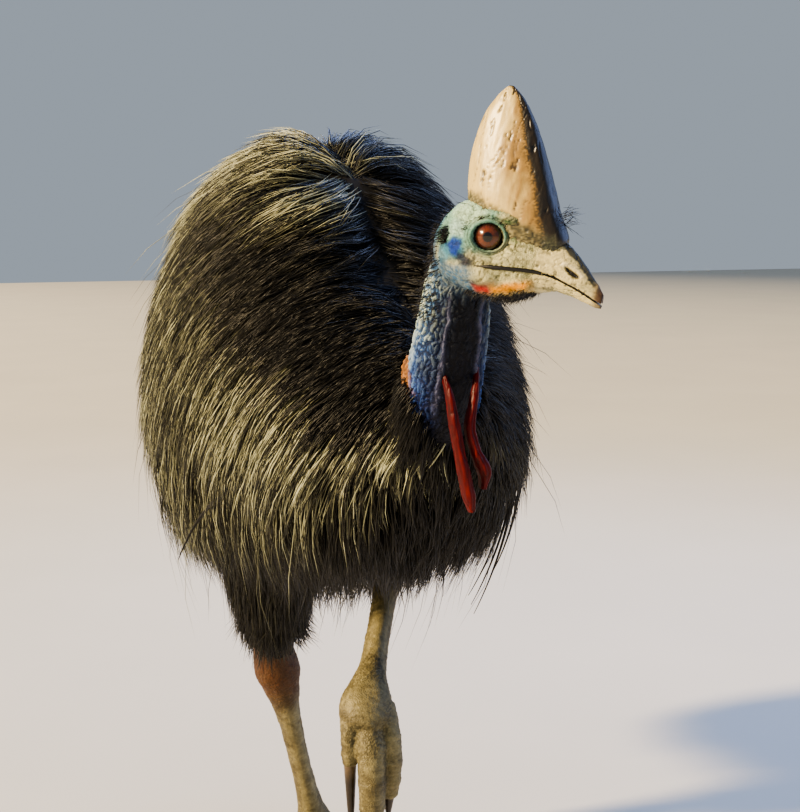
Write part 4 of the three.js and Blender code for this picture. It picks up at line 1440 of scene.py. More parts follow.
        # Fine wrinkles that run out from the lids
        forward, up, _, gap = self.round_eye(local)
        fan = grid(np.arctan2(up, forward) * 7, gap * 1.3, 0.0)
        wrinkle = creases(fan * MM, 1 * MM, 45, 0.16) * smoothstep(gap, 1.3, 1.6)
        wrinkle = wrinkle * smoothstep(gap, 2.9, 2.1) * (np.abs(local[:, 1]) > 12)
        colours = painted(
            plain("#c9c69a", len(local)),
            ("#cfc493", bill),
            ("#45452f", darker_in_grooves),
            ("#8d9070", smoothstep(cloud(metres, 14 * MM, 39, 2), 0.0, 0.7) * 0.55),
            ("#84b3a4", back, shade),
            ("#c2e2c9", spot(x, z, -20, 20, 30, 18) * 0.9, shade),
            ("#b5d9d6", spot(x, z, -29, 0, 14, 15) * 0.7, shade),
            ("#3c5b3c", spot(x, z, 25, 10, 17, 15) * (0.5 + 0.4 * furrow + 0.3 * (1 - plates))),
            ("#4f9a97", spot(x + patchy, z, -27, -17, 19, 15) * 0.8, shade),
            ("#1f5c86", spot(x + patchy, z, -25, -18, 17, 15) * 0.75, shade),
            ("#173f9c", spot(x + patchy, z - patchy, -27, -15, 12, 10), 0.4 + 0.6 * shade),
            ("#0c1738", spot(x + patchy, z + patchy, -14, -25, 14, 11) * 0.9),
            ("#4d8cab", spot(x, z, -40, -24, 11, 14) * 0.85, shade),
            ("#0d1a30", spot(x, z, -41, -5, 6, 10) * 0.8),
            ("#4f7599", shadow * (0.75 + 0.25 * plates), 0.25 + 0.75 * shade),
            ("#dd9520", gold, 0.55 + 0.45 * shade),
            ("#b7352f", rose, 0.5 + 0.5 * shade),
            ("#0c1122", throat),
            ("#2a3426", wrinkle * 0.55),
            ("#2f5f92", smoothstep(x, -46, -55) * 0.8, shade),
        )
        return colours, relief - 0.7 * wrinkle

    def eye(self, side: Side) -> Shape:
        """One eyeball, with its pupil, iris and dark rim.

        Args:
            side: the side that it is on.

        Returns:
            Its surface, with its colours.
        """
        tilt = np.concatenate([np.linspace(0.02, 1.15, 64), np.linspace(1.2, math.pi - 0.05, 20)])
        turn = circle(80)
        radius = self.eye_radius * np.sin(tilt)
        bulge = 0.9 * smoothstep(radius, 13.0, 2.0) * (tilt < 1.5)
        depth = self.eye_radius * np.cos(tilt) + bulge
        shape = loft(grid(radius[:, None] * np.cos(turn), depth[:, None], radius[:, None] * np.sin(turn)))
        forward, depth, up = shape.points.T
        away = np.hypot(forward, up)
        spokes = cloud(unit(shape.points * [1, 0, 1]) * 10 * MM, 0.8 * MM, 41, 2)
        colours = painted(
            plain("#6a2c10", len(away)),
            ("#2c1006", 0.5 + 0.5 * spokes),
            ("#7c4218", bell(away, 6.8, 1.7) * 0.35),
            ("#2a1008", smoothstep(away, 9.0, 11.4)),
            ("#050404", smoothstep(away, 5.2, 3.9)),
            ("#080707", np.maximum(smoothstep(away, 11.6, 12.4), depth < 0)),
        )
        tilted = math.radians(self.eye_turn)
        x = forward * math.cos(tilted) + depth * math.sin(tilted)
        y = side.value * (self.eye_spread + depth * math.cos(tilted) - forward * math.sin(tilted))
        return Shape(self.out(grid(x, y, up)), shape.triangles, colours).outward()

    def mouth_gap_shade(self) -> Shape:
        """Painted shade in the parting of the mouth: dark strips sunk in the cheeks on both sides, and a
        dark plate in the gap.

        Returns:
            Its three strips, with their colour.
        """
        strings = []
        for side in Side:
            x = np.linspace(-4, 58, 40)
            z = self.mouth_height(x)
            y = (self.wall(x, z) + 0.3) * side.value
            thin = 0.3 + 0.95 * smoothstep(x, -4, 14)
            stops = np.hstack([self.out(grid(x, y, z)) / MM, thin[:, None] * [1.5, 1.2]])
            strings.append(Limb(stops, side=(0, 0, 1)).shape(8, 60))
        x = np.linspace(44, 110, 40)
        z = self.mouth_height(x)
        wide = self.wall(x, z) * 0.86
        corners = [(1, 1), (-1, 1), (-1, -1), (1, -1)]
        plate = np.stack([grid(x, wide * a, z + 0.9 * b) for a, b in corners], axis=1)
        strings.append(self.closed(plate))
        shape = joined(strings)
        shape.colours = plain("#0b0908", len(shape.points))
        return shape

    def bristles(self, skin: Shape, finish: Material) -> None:
        """Fine black bristles on the throat, nape, ear, brow and lower jaw, and a tuft before the casque.

        Args:
            skin: the skin of the head and neck, whose points are the roots.
            finish: the plumage's material.
        """
        draws = np.random.default_rng(self.seed)
        local, out = self.local(skin.points), skin.normals()
        x, _, z = local.T
        _, up, depth, gap = self.round_eye(local)
        jaw = np.interp(x, *self.jaw)
        throat = (z < jaw - 3) * (z > -84) * (x > -14) * (x < 56) * 1.4
        nape = smoothstep(x, -40, -50) * (z > -95) * 0.35
        ear = (np.hypot((x + 40) / 6, (z + 6) / 9) < 1) * 1.6
        brow = (np.abs(gap - 1.5) < 0.16) * (up > 3) * (depth > 0) * 0.5
        crown = (z > 20) * (x < 0) * 0.12
        odds = np.maximum.reduce([throat * 0.5, nape, ear, brow, crown])
        kept = np.flatnonzero(draws.random(len(odds)) < odds * 0.3)
        roots, away, spots = skin.points[kept], out[kept], local[kept]
        back = self.turn() @ np.array([-0.75, 0, -0.5])
        flow = unit(away * 0.5 + back + draws.normal(0, 0.25, roots.shape))
        length = draws.uniform(4, 10, len(kept)) * MM * np.where(spots[:, 0] > -8, 1.0, 1.3)
        apart = draws.normal(0, 1, (self.front_tuft, 3)) * [3, 7, 5]
        base = self.out(np.array([[60.0, 0.0, 30.0]]) + apart)
        tuft_way = self.turn() @ np.array([0.8, 0.0, 0.35])
        tuft_flow = unit(tuft_way + draws.normal(0, 0.45, base.shape))
        roots, away = np.vstack([roots, base]), np.vstack([away, np.tile(UP, (self.front_tuft, 1))])
        flow = np.vstack([flow, tuft_flow])
        length = np.concatenate([length, draws.uniform(12, 24, self.front_tuft) * MM])
        share = np.linspace(0, 1, 4)[None, :, None]
        lines = roots[:, None] + flow[:, None] * length[:, None, None] * share
        lines = lines - away[:, None] * 0.8 * MM
        lines = lines + np.array([0, 0, -0.15]) * length[:, None, None] * share**2
        outs = np.repeat(away[:, None], 4, axis=1)
        x, y, z = self.local(roots).T
        bake = grid(np.arctan2(y, z) / (2 * math.pi) + 0.5, (x + 61) / 140)
        worn, half = np.full(len(roots), 0.08), np.full(len(roots), 0.34 * MM)
        tufts = Tufts(lines, outs, worn, np.clip(bake, 0, 1), half)
        place("head_bristles", tufts.strands(1, 0.3 * MM, draws), [finish], "plumage")


# Legs


def heading(turn: float, dip: float) -> Array:
    """The way that a bone points, by its angle from +X and its dip below level, in radians."""
    level = math.cos(dip)
    return np.array([math.cos(turn) * level, math.sin(turn) * level, -math.sin(dip)])


@dataclass
class Leg:
    """A thigh in its plumage, a shank with its hock, and three toes with their claws."""

    side: Side
    ball: Triple
    hock: Triple
    flat: bool
    dips: Sequence[float]
    claw_dips: Sequence[float]
    spread: float
    heading: float
    thigh: Sequence
    bare_from: float  # the height of the thigh plumage's edge, in millimetres
    toe_roots: float = 14.0
    inner: tuple[float, float] = (92.0, 88.0)  # the inner toe's length and its claw's
    sole_flat: float = 3.0  # how far the pads are pressed flat
    voxel: float = 2.0 * MM
    seed: int = 13
    strands: int = 1800
    bones: Sequence[float] = (0.34, 0.27, 0.22, 0.17)
    # Shares of the way up from the ball to the hock, with half the width and half the depth there
    shank: Sequence = (
        (1.16, 27, 32),
        (1, 35, 37),
        (0.88, 27, 32),
        (0.7, 18, 25),
        (0.4, 16, 22),
        (0.18, 20, 22),
        (0.03, 33, 26),
        (-0.06, 31, 23),
        (-0.12, 16, 13),
    )

    @property
    def toes(self) -> Sequence:
        """Each toe's name, the way it turns, its length and its claw's."""
        return (("inner", 1, *self.inner), ("middle", 0, 150, 44), ("outer", -1, 112, 38))

    def halves(self, toe: str) -> Sequence[float]:
        """A toe's half width at each joint, from its root.

        Args:
            toe: the toe's name.

        Returns:
            The half widths, in millimetres.
        """
        return {
            "inner": (14.5, 11.5, 10.5, 10.5, 9.5),
            "middle": (20, 18, 17, 16, 13.5),
            "outer": (17, 15, 14, 13.5, 11.5),
        }[toe]

    def toe(self, name: str, turn_sign: int, length: float) -> tuple[Array, float]:
        """The joints of a toe and the way that it points.

        Args:
            name: the toe's name.
            turn_sign: whether it turns in, out or not at all.
            length: its length without the claw.

        Returns:
            The joints with their half widths, and the heading in radians.
        """
        mirror = -self.side.value
        turn = math.radians(self.heading + mirror * turn_sign * self.spread)
        point = np.array(self.ball, float)
        point[0] += mirror * turn_sign * self.toe_roots
        halves = self.halves(name)
        path = [[*point, halves[0], halves[0]]]
        for share, dip, half in zip(self.bones, self.dips, halves[1:]):
            point = point + length * share * heading(turn, math.radians(dip))
            if self.flat:
                point[2] = half - self.sole_flat
            path.append([*point, half, half])
        return np.array(path), turn

    def limbs(self) -> dict[str, Limb]:
        """The shank and the toes as limbs.

        Returns:
            Each limb by its name.
        """
        top, end = np.array(self.hock, float), np.array(self.ball, float)
        stops = [[*(end + (top - end) * share), wide, deep] for share, wide, deep in self.shank]
        limbs = {"shank": Limb(stops)}
        for name, sign, length, _ in self.toes:
            path, turn = self.toe(name, sign, length)
            limbs[name] = Limb(path, side=(-math.sin(turn), math.cos(turn), 0.0))
        return limbs

    def flesh(self) -> list[list[float]]:
        """The thigh's stops without its plumage."""
        trim = np.linspace(22, 9, len(self.thigh))
        return [[x, y, z, wide - cut, deep - cut] for (x, y, z, wide, deep), cut in zip(self.thigh, trim)]

    def skin(self) -> Shape:
        """The leg's bare part in one surface, with scutes down its front and pebbles round its sides.

        Returns:
            The surface, with its colours.
        """
        limbs = self.limbs()
        knee = Limb([row for row in self.flesh() if row[2] < self.bare_from + 95])
        bones = [limb.shape(32, 60) for limb in limbs.values()]
        paths = [self.toe(*toe[:3])[0] for toe in self.toes]
        pads = [self.pad(joint) for path in paths for joint in path[1:]]
        shape = fused(bones + [knee.shape(28, 24)] + pads, self.voxel, 4)
        points, out = shape.points, shape.normals()
        near = np.full(len(points), 9.0)
        lift = np.zeros(len(points))
        colours = plain("#6f6649", len(points))
        counts = {"shank": 30, "inner": 13, "middle": 21, "outer": 17}
        scales = pebbles(points, 4.6 * MM, 51)
        small = pebbles(points, 2.4 * MM, 53)
        for name, limb in limbs.items():
            share, wide, front, distance = limb.locate(points)
            closer = distance < near
            near = np.where(closer, distance, near)
            bend = 0.16 * wide**2 + 0.09 * cloud(points, 14 * MM, 54)
            phase = (share + bend / counts[name] * 2) * counts[name]
            step = phase - np.floor(phase)
            plate = smoothstep(step, 0.0, 0.2) * (0.5 + 0.5 * step) * smoothstep(step, 1.0, 0.93)
            face = smoothstep(front, 0.35, 0.75) * smoothstep(np.abs(wide), 0.85, 0.6)
            face = face * (smoothstep(share, 0.26, 0.36) if name == "shank" else 1.0)
            height = 0.55 if name == "shank" else 0.7
            relief = face * height * plate + (1 - face) * (0.7 * scales + 0.25 * small)
            lift = np.where(closer, relief, lift)
            mark = self.marks(points, share, face, plate, scales, name)
            colours = np.where(closer[:, None], mark, colours)
        knobs = 1.2 * cloud(points, 17 * MM, 55, 2)
        points = points + out * ((lift + knobs - 0.7) * MM)[:, None]
        if self.flat:
            points[:, 2] = np.maximum(points[:, 2], 0.4 * MM)
        return Shape(points, shape.triangles, colours)

    def marks(
        self, points: Array, share: Array, face: Array, plate: Array, scales: Array, name: str
    ) -> Array:
        """Colours of the leg: orange-brown at the hock, olive-grey below, pale edges on the scutes.

        Args:
            points: the points, in metres.
            share: how far down the limb each lies.
            face: how far each lies on the scuted front.
            plate: how far each stands up on its scute.
            scales: how far each stands up on its pebble.
            name: the limb's name.

        Returns:
            One colour for each point.
        """
        base = painted(
            plain("#7b7250", len(points)),
            ("#9f956c", smoothstep(cloud(points, 26 * MM, 56, 2), 0.0, 0.8) * 0.7),
            ("#4a4129", smoothstep(cloud(points, 20 * MM, 52, 2), -0.1, 0.7) * 0.8),
            ("#a39a76", face * smoothstep(plate, 0.6, 0.95) * 0.12),
            ("#2c2618", face * smoothstep(plate, 0.3, 0.05) * 0.25),
            ("#2f2919", (1 - face) * (1 - scales) * 0.6),
        )
        if name == "shank":
            base = painted(
                base,
                ("#4d290f", smoothstep(share, 0.36, 0.16) * (0.75 + 0.2 * scales)),
                ("#3a2212", smoothstep(share, 0.12, 0.0) * 0.5),
            )
        return base

    def pad(self, joint: Array) -> Shape:
        """The rounded pad under a joint of a toe.

        Args:
            joint: the joint's place and half widths.

        Returns:
            Its surface.
        """
        x, y, z, half, _ = joint
        size = np.array([half * 1.06, half * 1.06, half * 0.92])
        return loft((np.array([x, y, z]) + ball(12, 20) * size) * MM)

    def claws(self) -> dict[str, Shape]:
        """The claws, each curved and tapered, with its root inside the toe.

        Returns:
            Each claw by its toe's name.
        """
        made = {}
        for name, sign, length, claw in self.toes:
            path, turn = self.toe(name, sign, length)
            point, before = path[-1, :3].copy(), path[-2, :3]
            start, end = (math.radians(dip) for dip in self.claw_dips)
            root = point + (before - point) * 0.6
            steps = 8
            stops = [[*root, 9.0, 9.0]]
            for k in range(steps + 1):
                half = 8.2 * (1 - k / steps) ** 0.7 + 0.7
                stops.append([*point, half * 0.92, half])
                dip = start + (end - start) * k / steps
                point = point + heading(turn, dip) * claw / steps
            limb = Limb(stops, side=(-math.sin(turn), math.cos(turn), 0.0))
            shape = limb.shape(28, 64)
            share = limb.locate(shape.points)[0]
            rough = 0.25 * MM * cloud(shape.points, 5 * MM, 61, 3)
            points = shape.points + shape.normals() * rough[:, None]
            if self.flat:
                points[:, 2] = np.maximum(points[:, 2], 0.5 * MM)
            colours = painted(
                plain("#241c16", len(points)),
                ("#5e4e3a", smoothstep(share, 0.35, 0.1)),
                ("#120f0d", smoothstep(share, 0.6, 0.95)),
            )
            made[name] = Shape(points, shape.triangles, colours)
        return made

    def plumage(self, finish: Material) -> None:
        """The thigh's strands, which lie down the thigh and end in a ragged edge above the hock.

        Args:
            finish: the plumage's material.
        """
        draws = np.random.default_rng(self.seed + self.side.value)
        limb = Limb(self.thigh)
        rows = np.array(self.thigh, float)
        whole = np.linalg.norm(np.diff(rows[:, :3], axis=0), axis=1).sum() * MM
        last = np.interp(-self.bare_from, -rows[:, 2], np.linspace(0, 1, len(rows)))
        count, steps = self.strands, 4
        reach = 0.085 * draws.uniform(0.6, 1.4, count)
        start = draws.uniform(0.1, max(last - 0.06 / whole, 0.2), count)
        turn = draws.uniform(0, 2 * math.pi, count)
        reach = reach * (1 + 0.3 * np.sin(6 * turn + 2 * np.sin(3 * turn)))
        tip = draws.uniform(-6, 6, count) * MM
        free = draws.normal(0, 0.12, (count, 2))
        lines, outs = np.empty((count, steps, 3)), np.empty((count, steps, 3))
        for k in range(steps):
            t = k / (steps - 1)
            along = start + reach * t / whole
            centre, half, across, deep, _ = limb.frame(np.clip(along, 0, 1))
            lift = (-19 * MM) * (1 - t) ** 1.5 + tip * t
            bearing = turn + free[:, 0] * t
            radial = across * np.sin(bearing)[:, None] + deep * np.cos(bearing)[:, None]
            size = grid(np.sin(bearing) * half[:, 0], np.cos(bearing) * half[:, 1])
            over = np.clip(along - 1, 0, None) * whole
            lines[:, k] = centre + across * size[:, :1] + deep * size[:, 1:] + radial * lift[:, None]
            lines[:, k] += np.array([0.0, 0.02, -1.0]) * over[:, None]
            flare = np.abs(free[:, 1]) * 0.1 * t**2 * smoothstep(along, last * 0.7, last)
            lines[:, k] += radial * flare[:, None]
            outs[:, k] = radial
        bake = grid(turn / (2 * math.pi), start)
        tufts = Tufts(lines, outs, np.full(count, 0.3), bake, np.full(count, 0.85 * MM))
        place(f"coat_thigh_{self.side.word}", tufts.strands(4, 4.5 * MM, draws), [finish], "plumage")


def planted_leg() -> Leg:
    """The right leg, whose foot carries the bird.

    Returns:
        The leg.
    """
    return Leg(
        Side.RIGHT,
        ball=(0, 0, 34),
        hock=(-70, -46, 330),
        flat=True,
        dips=(12, 0, 0, 0),
        claw_dips=(2, 8),
        spread=31,
        heading=-90,
        thigh=(
            (-79, -120, 670, 90, 120),
            (-86, -100, 570, 85, 110),
            (-84, -80, 470, 66, 80),
            (-78, -58, 400, 46, 56),
            (-72, -48, 355, 36, 42),
        ),
        bare_from=392.0,
    )


def lifted_leg() -> Leg:
    """The left leg, lifted in mid-stride with its toes hanging.

    Returns:
        The leg.
    """
    return Leg(
        Side.LEFT,
        ball=(-48, -430, 402),
        hock=(69, -196, 542),
        flat=False,
        dips=(58, 82, 95, 102),
        claw_dips=(100, 86),
        spread=13,
        heading=-95,
        thigh=(
            (71, -160, 720, 80, 110),
            (75, -180, 650, 62, 80),
            (71, -192, 590, 44, 52),
            (69, -196, 565, 36, 42),
        ),
        bare_from=600.0,
        toe_roots=21.0,
        inner=(66.0, 110.0),
    )


# Wattles and wings


@dataclass
class Wattle:
    """A long soft fold of red skin that hangs from the front of the neck."""

    side: Side
    stops: Sequence

    def shape(self) -> Shape:
        """The fold, with its edges rolled and its skin wrinkled.

        Returns:
            Its surface, with its colours.
        """
        limb = Limb(self.stops, side=(1, 0.25, 0))
        shape = limb.shape(40, 130)
        share, wide, front, _ = limb.locate(shape.points)
        drawn = shape.points * np.array([1, 1, 0.22])
        wrinkle = cloud(drawn, 4 * MM, 71, 3)
        crease = creases(drawn, 5.5 * MM, 72, 0.16)
        waist = 0.8 * cloud(shape.points * np.array([0.2, 0.2, 1]), 16 * MM, 73)
        lift = 0.6 * wrinkle - 0.45 * crease + waist * smoothstep(share, 0.2, 0.4)
        lift = lift - 1.3 * bell(wide, 0, 0.3) * (front > 0) * smoothstep(share, 0.25, 0.5)
        points = shape.points + shape.normals() * (lift * MM)[:, None]
        colours = painted(
            plain("#5a0b0e", len(points)),
            ("#8c2016", smoothstep(wrinkle, 0.1, 0.8) * 0.6),
            ("#1c0406", np.maximum(crease * 0.35, smoothstep(share, 0.3, 0.0) * 0.55)),
            ("#1c0406", smoothstep(np.abs(wide), 0.72, 1.0) * 0.45),
            ("#14204a", smoothstep(share, 0.14, 0.04)),
        )
        return Shape(points, shape.triangles, colours)


def wattles() -> list[Wattle]:
    """Both wattles, from their roots to their tips.

    Returns:
        The right wattle and the left.
    """
    right = (
        (-40, -682, 860, 1.5, 2.5),
        (-42, -691, 843, 2.4, 3.5),
        (-40, -698, 827, 3.4, 5.0),
        (-38, -702, 809, 4.4, 6.5),
        (-35.5, -704, 789, 5, 7),
        (-30, -706, 759, 5.6, 8),
        (-22.5, -706, 725, 6.2, 9),
        (-18, -705, 704, 3, 5),
    )
    left = (
        (-10, -683, 866, 1.5, 2.5),
        (-8, -692, 848, 2.4, 3.5),
        (-12, -699, 827, 3.6, 5.0),
        (-17.5, -702, 803, 4.6, 6.5),
        (-19.5, -704, 786, 5.2, 7),
        (-14, -706, 766, 6, 8),
        (-5, -706, 745, 6.5, 9),
        (-6, -705, 727, 3.2, 5),
    )
    return [Wattle(Side.RIGHT, right), Wattle(Side.LEFT, left)]


@dataclass
class Wing:
    """A small wing hidden in the plumage, with a fan of bare black quills that stand out of it."""

    side: Side
    tip: Triple
    bow: Triple
    root: Triple = (172.0, -398.0, 690.0)
    shares: Sequence[float] = (0.74, 1.0, 0.92, 0.84)  # each quill's share of the longest
    fan: Triple = (-5.0, 9.0, -5.0)  # from one quill's tip to the next
    roots: Triple = (0.0, 7.0, -4.0)  # from one quill's root to the next
    stump: Sequence = (
        (118, -405, 756, 13, 20),
        (148, -403, 730, 14, 22),
        (166, -397, 704, 11, 18),
        (172, -391, 684, 5, 9),
    )

    def shape(self) -> Shape:
        """The stump and its quills.

        Returns:
            Their surfaces, with one colour.
        """
        sign = self.side.value
        pieces = [Limb([[1 + sign * x, y, z, w, d] for x, y, z, w, d in self.stump]).shape(24, 24)]
        root = np.array([1 + sign * self.root[0], self.root[1], self.root[2]])
        for k, share in enumerate(self.shares):
            start = root + np.array(self.roots) * (k - 1.5)
            end = start + (np.array(self.tip) - start) * share + np.array(self.fan) * (k - 1)
            bend = (start + end) / 2 + np.array(self.bow)
            steps = np.linspace(0, 1, 12)[:, None]
            line = start * (1 - steps) ** 2 + 2 * bend * steps * (1 - steps) + end * steps**2
            half = (2.6 - 2.2 * steps**1.3) * np.ones((1, 2))
            pieces.append(Limb(np.hstack([line, half])).shape(10, 60))
        shape = joined(pieces)
        shape.colours = plain("#080706", len(shape.points))
        return shape


# The one skin


@dataclass
class Skin:
    """The bird's one skin: trunk, neck, head and legs."""

    trunk: Trunk
    neck: Neck
    head: Head
    legs: Sequence[Leg]
    nape_fold: Triple = (-50.0, -627.0, 834.0)  # the orange swelling of the nape
    voxel: float = 1.2 * MM

    def head_and_neck(self) -> Shape:
        """Melt the head into the neck, sink the eyes, and raise the folds and pebbles.

        Returns:
            The surface, with its colours.
        """
        fold = loft((np.array(self.nape_fold) + ball(12, 20) * np.array([14, 20, 27])) * MM)
        parts = [*self.head.skull(), self.neck.limb.shape(48, 90), fold]
        shape = fused(parts, self.voxel, 3)
        local = self.head.local(shape.points)
        sunk, lid, inside = self.head.sink_eyes(local)
        moved = (lid + inside > 0.01) | (np.abs(sunk - local) > 0).any(1)
        points = np.where(moved[:, None], self.head.out(sunk), shape.points)
        shape = Shape(points, shape.triangles)
        out = shape.normals()
        face, face_lift = self.head.face_marks(sunk)
        share, wide, front, distance = self.neck.limb.locate(points)
        on_neck = smoothstep(share, 0.12, 0.3) * smoothstep(distance, 1.45, 1.15)
        on_neck = np.maximum(on_neck, smoothstep(local[:, 2], -54, -68))
        lift, mark = self.neck_marks(points, share, wide, front)
        lift = face_lift * (1 - on_neck) * (1 - lid) * (1 - inside) + lift * on_neck
        colours = face * (1 - on_neck[:, None]) + mark * on_neck[:, None]
        gap = self.head.round_eye(sunk)[3]
        ring = cloud(points, 3 * MM, 95, 2)
        around = (gap < 1.7) * (np.abs(sunk[:, 1]) > 9)
        groove = bell(gap, 1.33, 0.06) + 0.7 * bell(gap, 1.52, 0.04)
        above = smoothstep(self.head.round_eye(sunk)[1], -9, 6)
        # Painted shade: a dark crescent under the lower lid
        under = bell(gap, 1.16, 0.07) * around * (1 - above)
        colours = painted(
            colours,
            ("#152c2c", groove * around * (0.6 + 0.4 * ring)),
            ("#6fa097", lid * (0.4 + 0.45 * above), 0.75 + 0.25 * ring),
            ("#131a1e", under * 0.85),
            ("#080808", inside),
        )
        return Shape(points + out * (lift * MM)[:, None], shape.triangles, colours)

    def neck_marks(self, points: Array, share: Array, wide: Array, front: Array) -> tuple[Array, Array]:
        """The neck's relief and colours: pale wavy ridges on cobalt with a painted highlight on the ridge
        tops, painted navy shade in the grooves and in front, and orange at the nape.

        Args:
            points: the points, in metres.
            share: how far down the neck each lies.
            wide: how far across, in half widths.
            front: how far to the front, in half depths.

        Returns:
            How far the skin stands out, in millimetres, and its colours.
        """
        axis = unit(np.array([0.0, 0.5, -0.85]))
        drawn = points - (points @ axis)[:, None] * axis * 0.7
        drawn = drawn + 3.4 * MM * grid(*(cloud(points, 9 * MM, s) for s in (81, 82, 83)))
        cells = pebbles(drawn, 4.7 * MM, 84)
        ridge = 1 - smoothstep(np.abs(cloud(drawn, 6.5 * MM, 85, 2)), 0.0, 0.5)
        folds = np.clip(cells * (0.5 + 0.5 * ridge) + 0.1 * ridge, 0, 1)
        bearing = wide / np.maximum(np.hypot(wide, front), 1e-6) + 0.09 * cloud(points, 20 * MM, 87, 2)
        band = smoothstep(share, 0.2, 0.34) * smoothstep(share, 0.68, 0.56) * (front > 0.1)
        rope = sum(bell(bearing, at, 0.05) for at in (-0.55, 0.5)) * band * (0.4 + 0.6 * ridge)
        panel = smoothstep(np.abs(bearing + 0.12 * cloud(points, 12 * MM, 88, 2)), 0.78, 0.3)
        panel = panel * smoothstep(front, 0.2, 0.5) * smoothstep(share, 0.2, 0.32)
        lift = 2.8 * folds * (1 - 0.5 * panel) - 0.8 + 1.0 * cloud(points, 14 * MM, 86, 2) + 1.6 * rope
        height = points[:, 2] + 0.014 * cloud(points, 25 * MM, 91)
        top = smoothstep(height, 0.80, 0.92)
        colours = painted(plain("#183f9c", len(points)), ("#4f7bb0", top))
        # The pale on the ridge tops is partly the skin's own and partly a painted highlight of light on the
        # folds
        pale = painted(plain("#5a88cc", len(points)), ("#c9d8c6", top))
        pale_ridges_and_highlight = smoothstep(folds, 0.3, 0.8) * (0.4 + 0.5 * top) * (1 - 0.8 * panel)
        colours = colours * (1 - pale_ridges_and_highlight[:, None]) + pale * pale_ridges_and_highlight[:, None]
        dark = smoothstep(front + 0.25 * cloud(points, 16 * MM, 92), 0.1, 0.75)
        away = (points - np.array(self.nape_fold) * MM) / (np.array([25, 31, 29]) * MM)
        nape = smoothstep(np.linalg.norm(away, axis=1) + 0.25 * cloud(points, 8 * MM, 93, 2), 1.15, 0.75)
        # Painted shade: dark navy in the grooves, towards the front and on the front panel
        colours = painted(
            colours,
            ("#07102e", smoothstep(folds, 0.4, 0.06) * 0.85),
            ("#0a1230", dark * 0.8),
            ("#05070f", panel * 0.9),
            ("#7d7fa0", rope * 0.5),
            ("#0d0f22", smoothstep(points[:, 2], 0.79, 0.745) * 0.75),
            ("#b3793a", nape * 0.95, 0.25 + 0.75 * folds),
        )
        return lift, colours

    def body(self) -> Shape:
        """The dark skin under the plumage of the trunk and thighs.

        Returns:
            Its surfaces, with one colour.
        """
        shape = joined([self.trunk.skin(), *(Limb(leg.flesh()).shape(28, 24) for leg in self.legs)])
        shape.colours = plain("#0b0908", len(shape.points))
        return shape

    def dress(self, finishes: Sequence[Material], hair: Material) -> None:
        """Make the skin, one object with the finish of each of its regions, and the head's bristles.

        Args:
            finishes: the materials of the bare skin, the legs' scales and the skin under the plumage.
            hair: the bristles' material.
        """
        legs = joined([leg.skin() for leg in self.legs])
        bare = self.head_and_neck()
        nodes = ["head", "neck", "torso", "tail"]
        for side in Side:
            nodes += [f"thigh_{side.word}", f"tarsus_{side.word}"]
            nodes += [f"toe_{toe}_{side.word}" for toe in ("inner", "middle", "outer")]
        place("skin", joined([bare, legs, self.body()]), finishes, "neck_skin", nodes)
        self.head.bristles(bare, hair)


# The studio


@dataclass(frozen=True)
class Light:
    """A soft light: a square panel aimed at the middle of the bird, or a far sun."""

    name: str
    panel: bool
    at: Triple  # the panel's place in metres, or the way that the sun lies
    size: float  # the panel's side in metres, or how wide the sun is in degrees
    power: float  # in watts, or for a sun in watts for each square metre
    colour: str
    aim: Triple = (0.0, -0.25, 0.7)

    def hang(self) -> None:
        """Make the light."""
        data = bpy.data.lights.new(self.name, "AREA" if self.panel else "SUN")
        data.energy = self.power
        data.color = linear(self.colour)
        lamp = bpy.data.objects.new(self.name, data)
        if self.panel:
            data.size = self.size
            lamp.location = self.at
            way = Vector(self.aim) - Vector(self.at)
            lamp.rotation_euler = way.to_track_quat("-Z", "Y").to_euler()
        else:
            data.angle = math.radians(self.size)
            lamp.rotation_euler = Vector(self.at).to_track_quat("Z", "Y").to_euler()
        bpy.context.scene.collection.objects.link(lamp)


# Low warm sun from the bird's right, and two cool panels that stand for the open sky
LIGHTS = (
    Light("key", False, (-1.0, 0.02, 0.5), 5.0, 8.8, "#ffe3b4"),
    Light("fill", True, (2.9, -0.6, 1.9), 2.6, 42, "#9fbcff"),
    Light("top", True, (1.0, 1.6, 3.0), 2.0, 66, "#a6c0ff"),
)


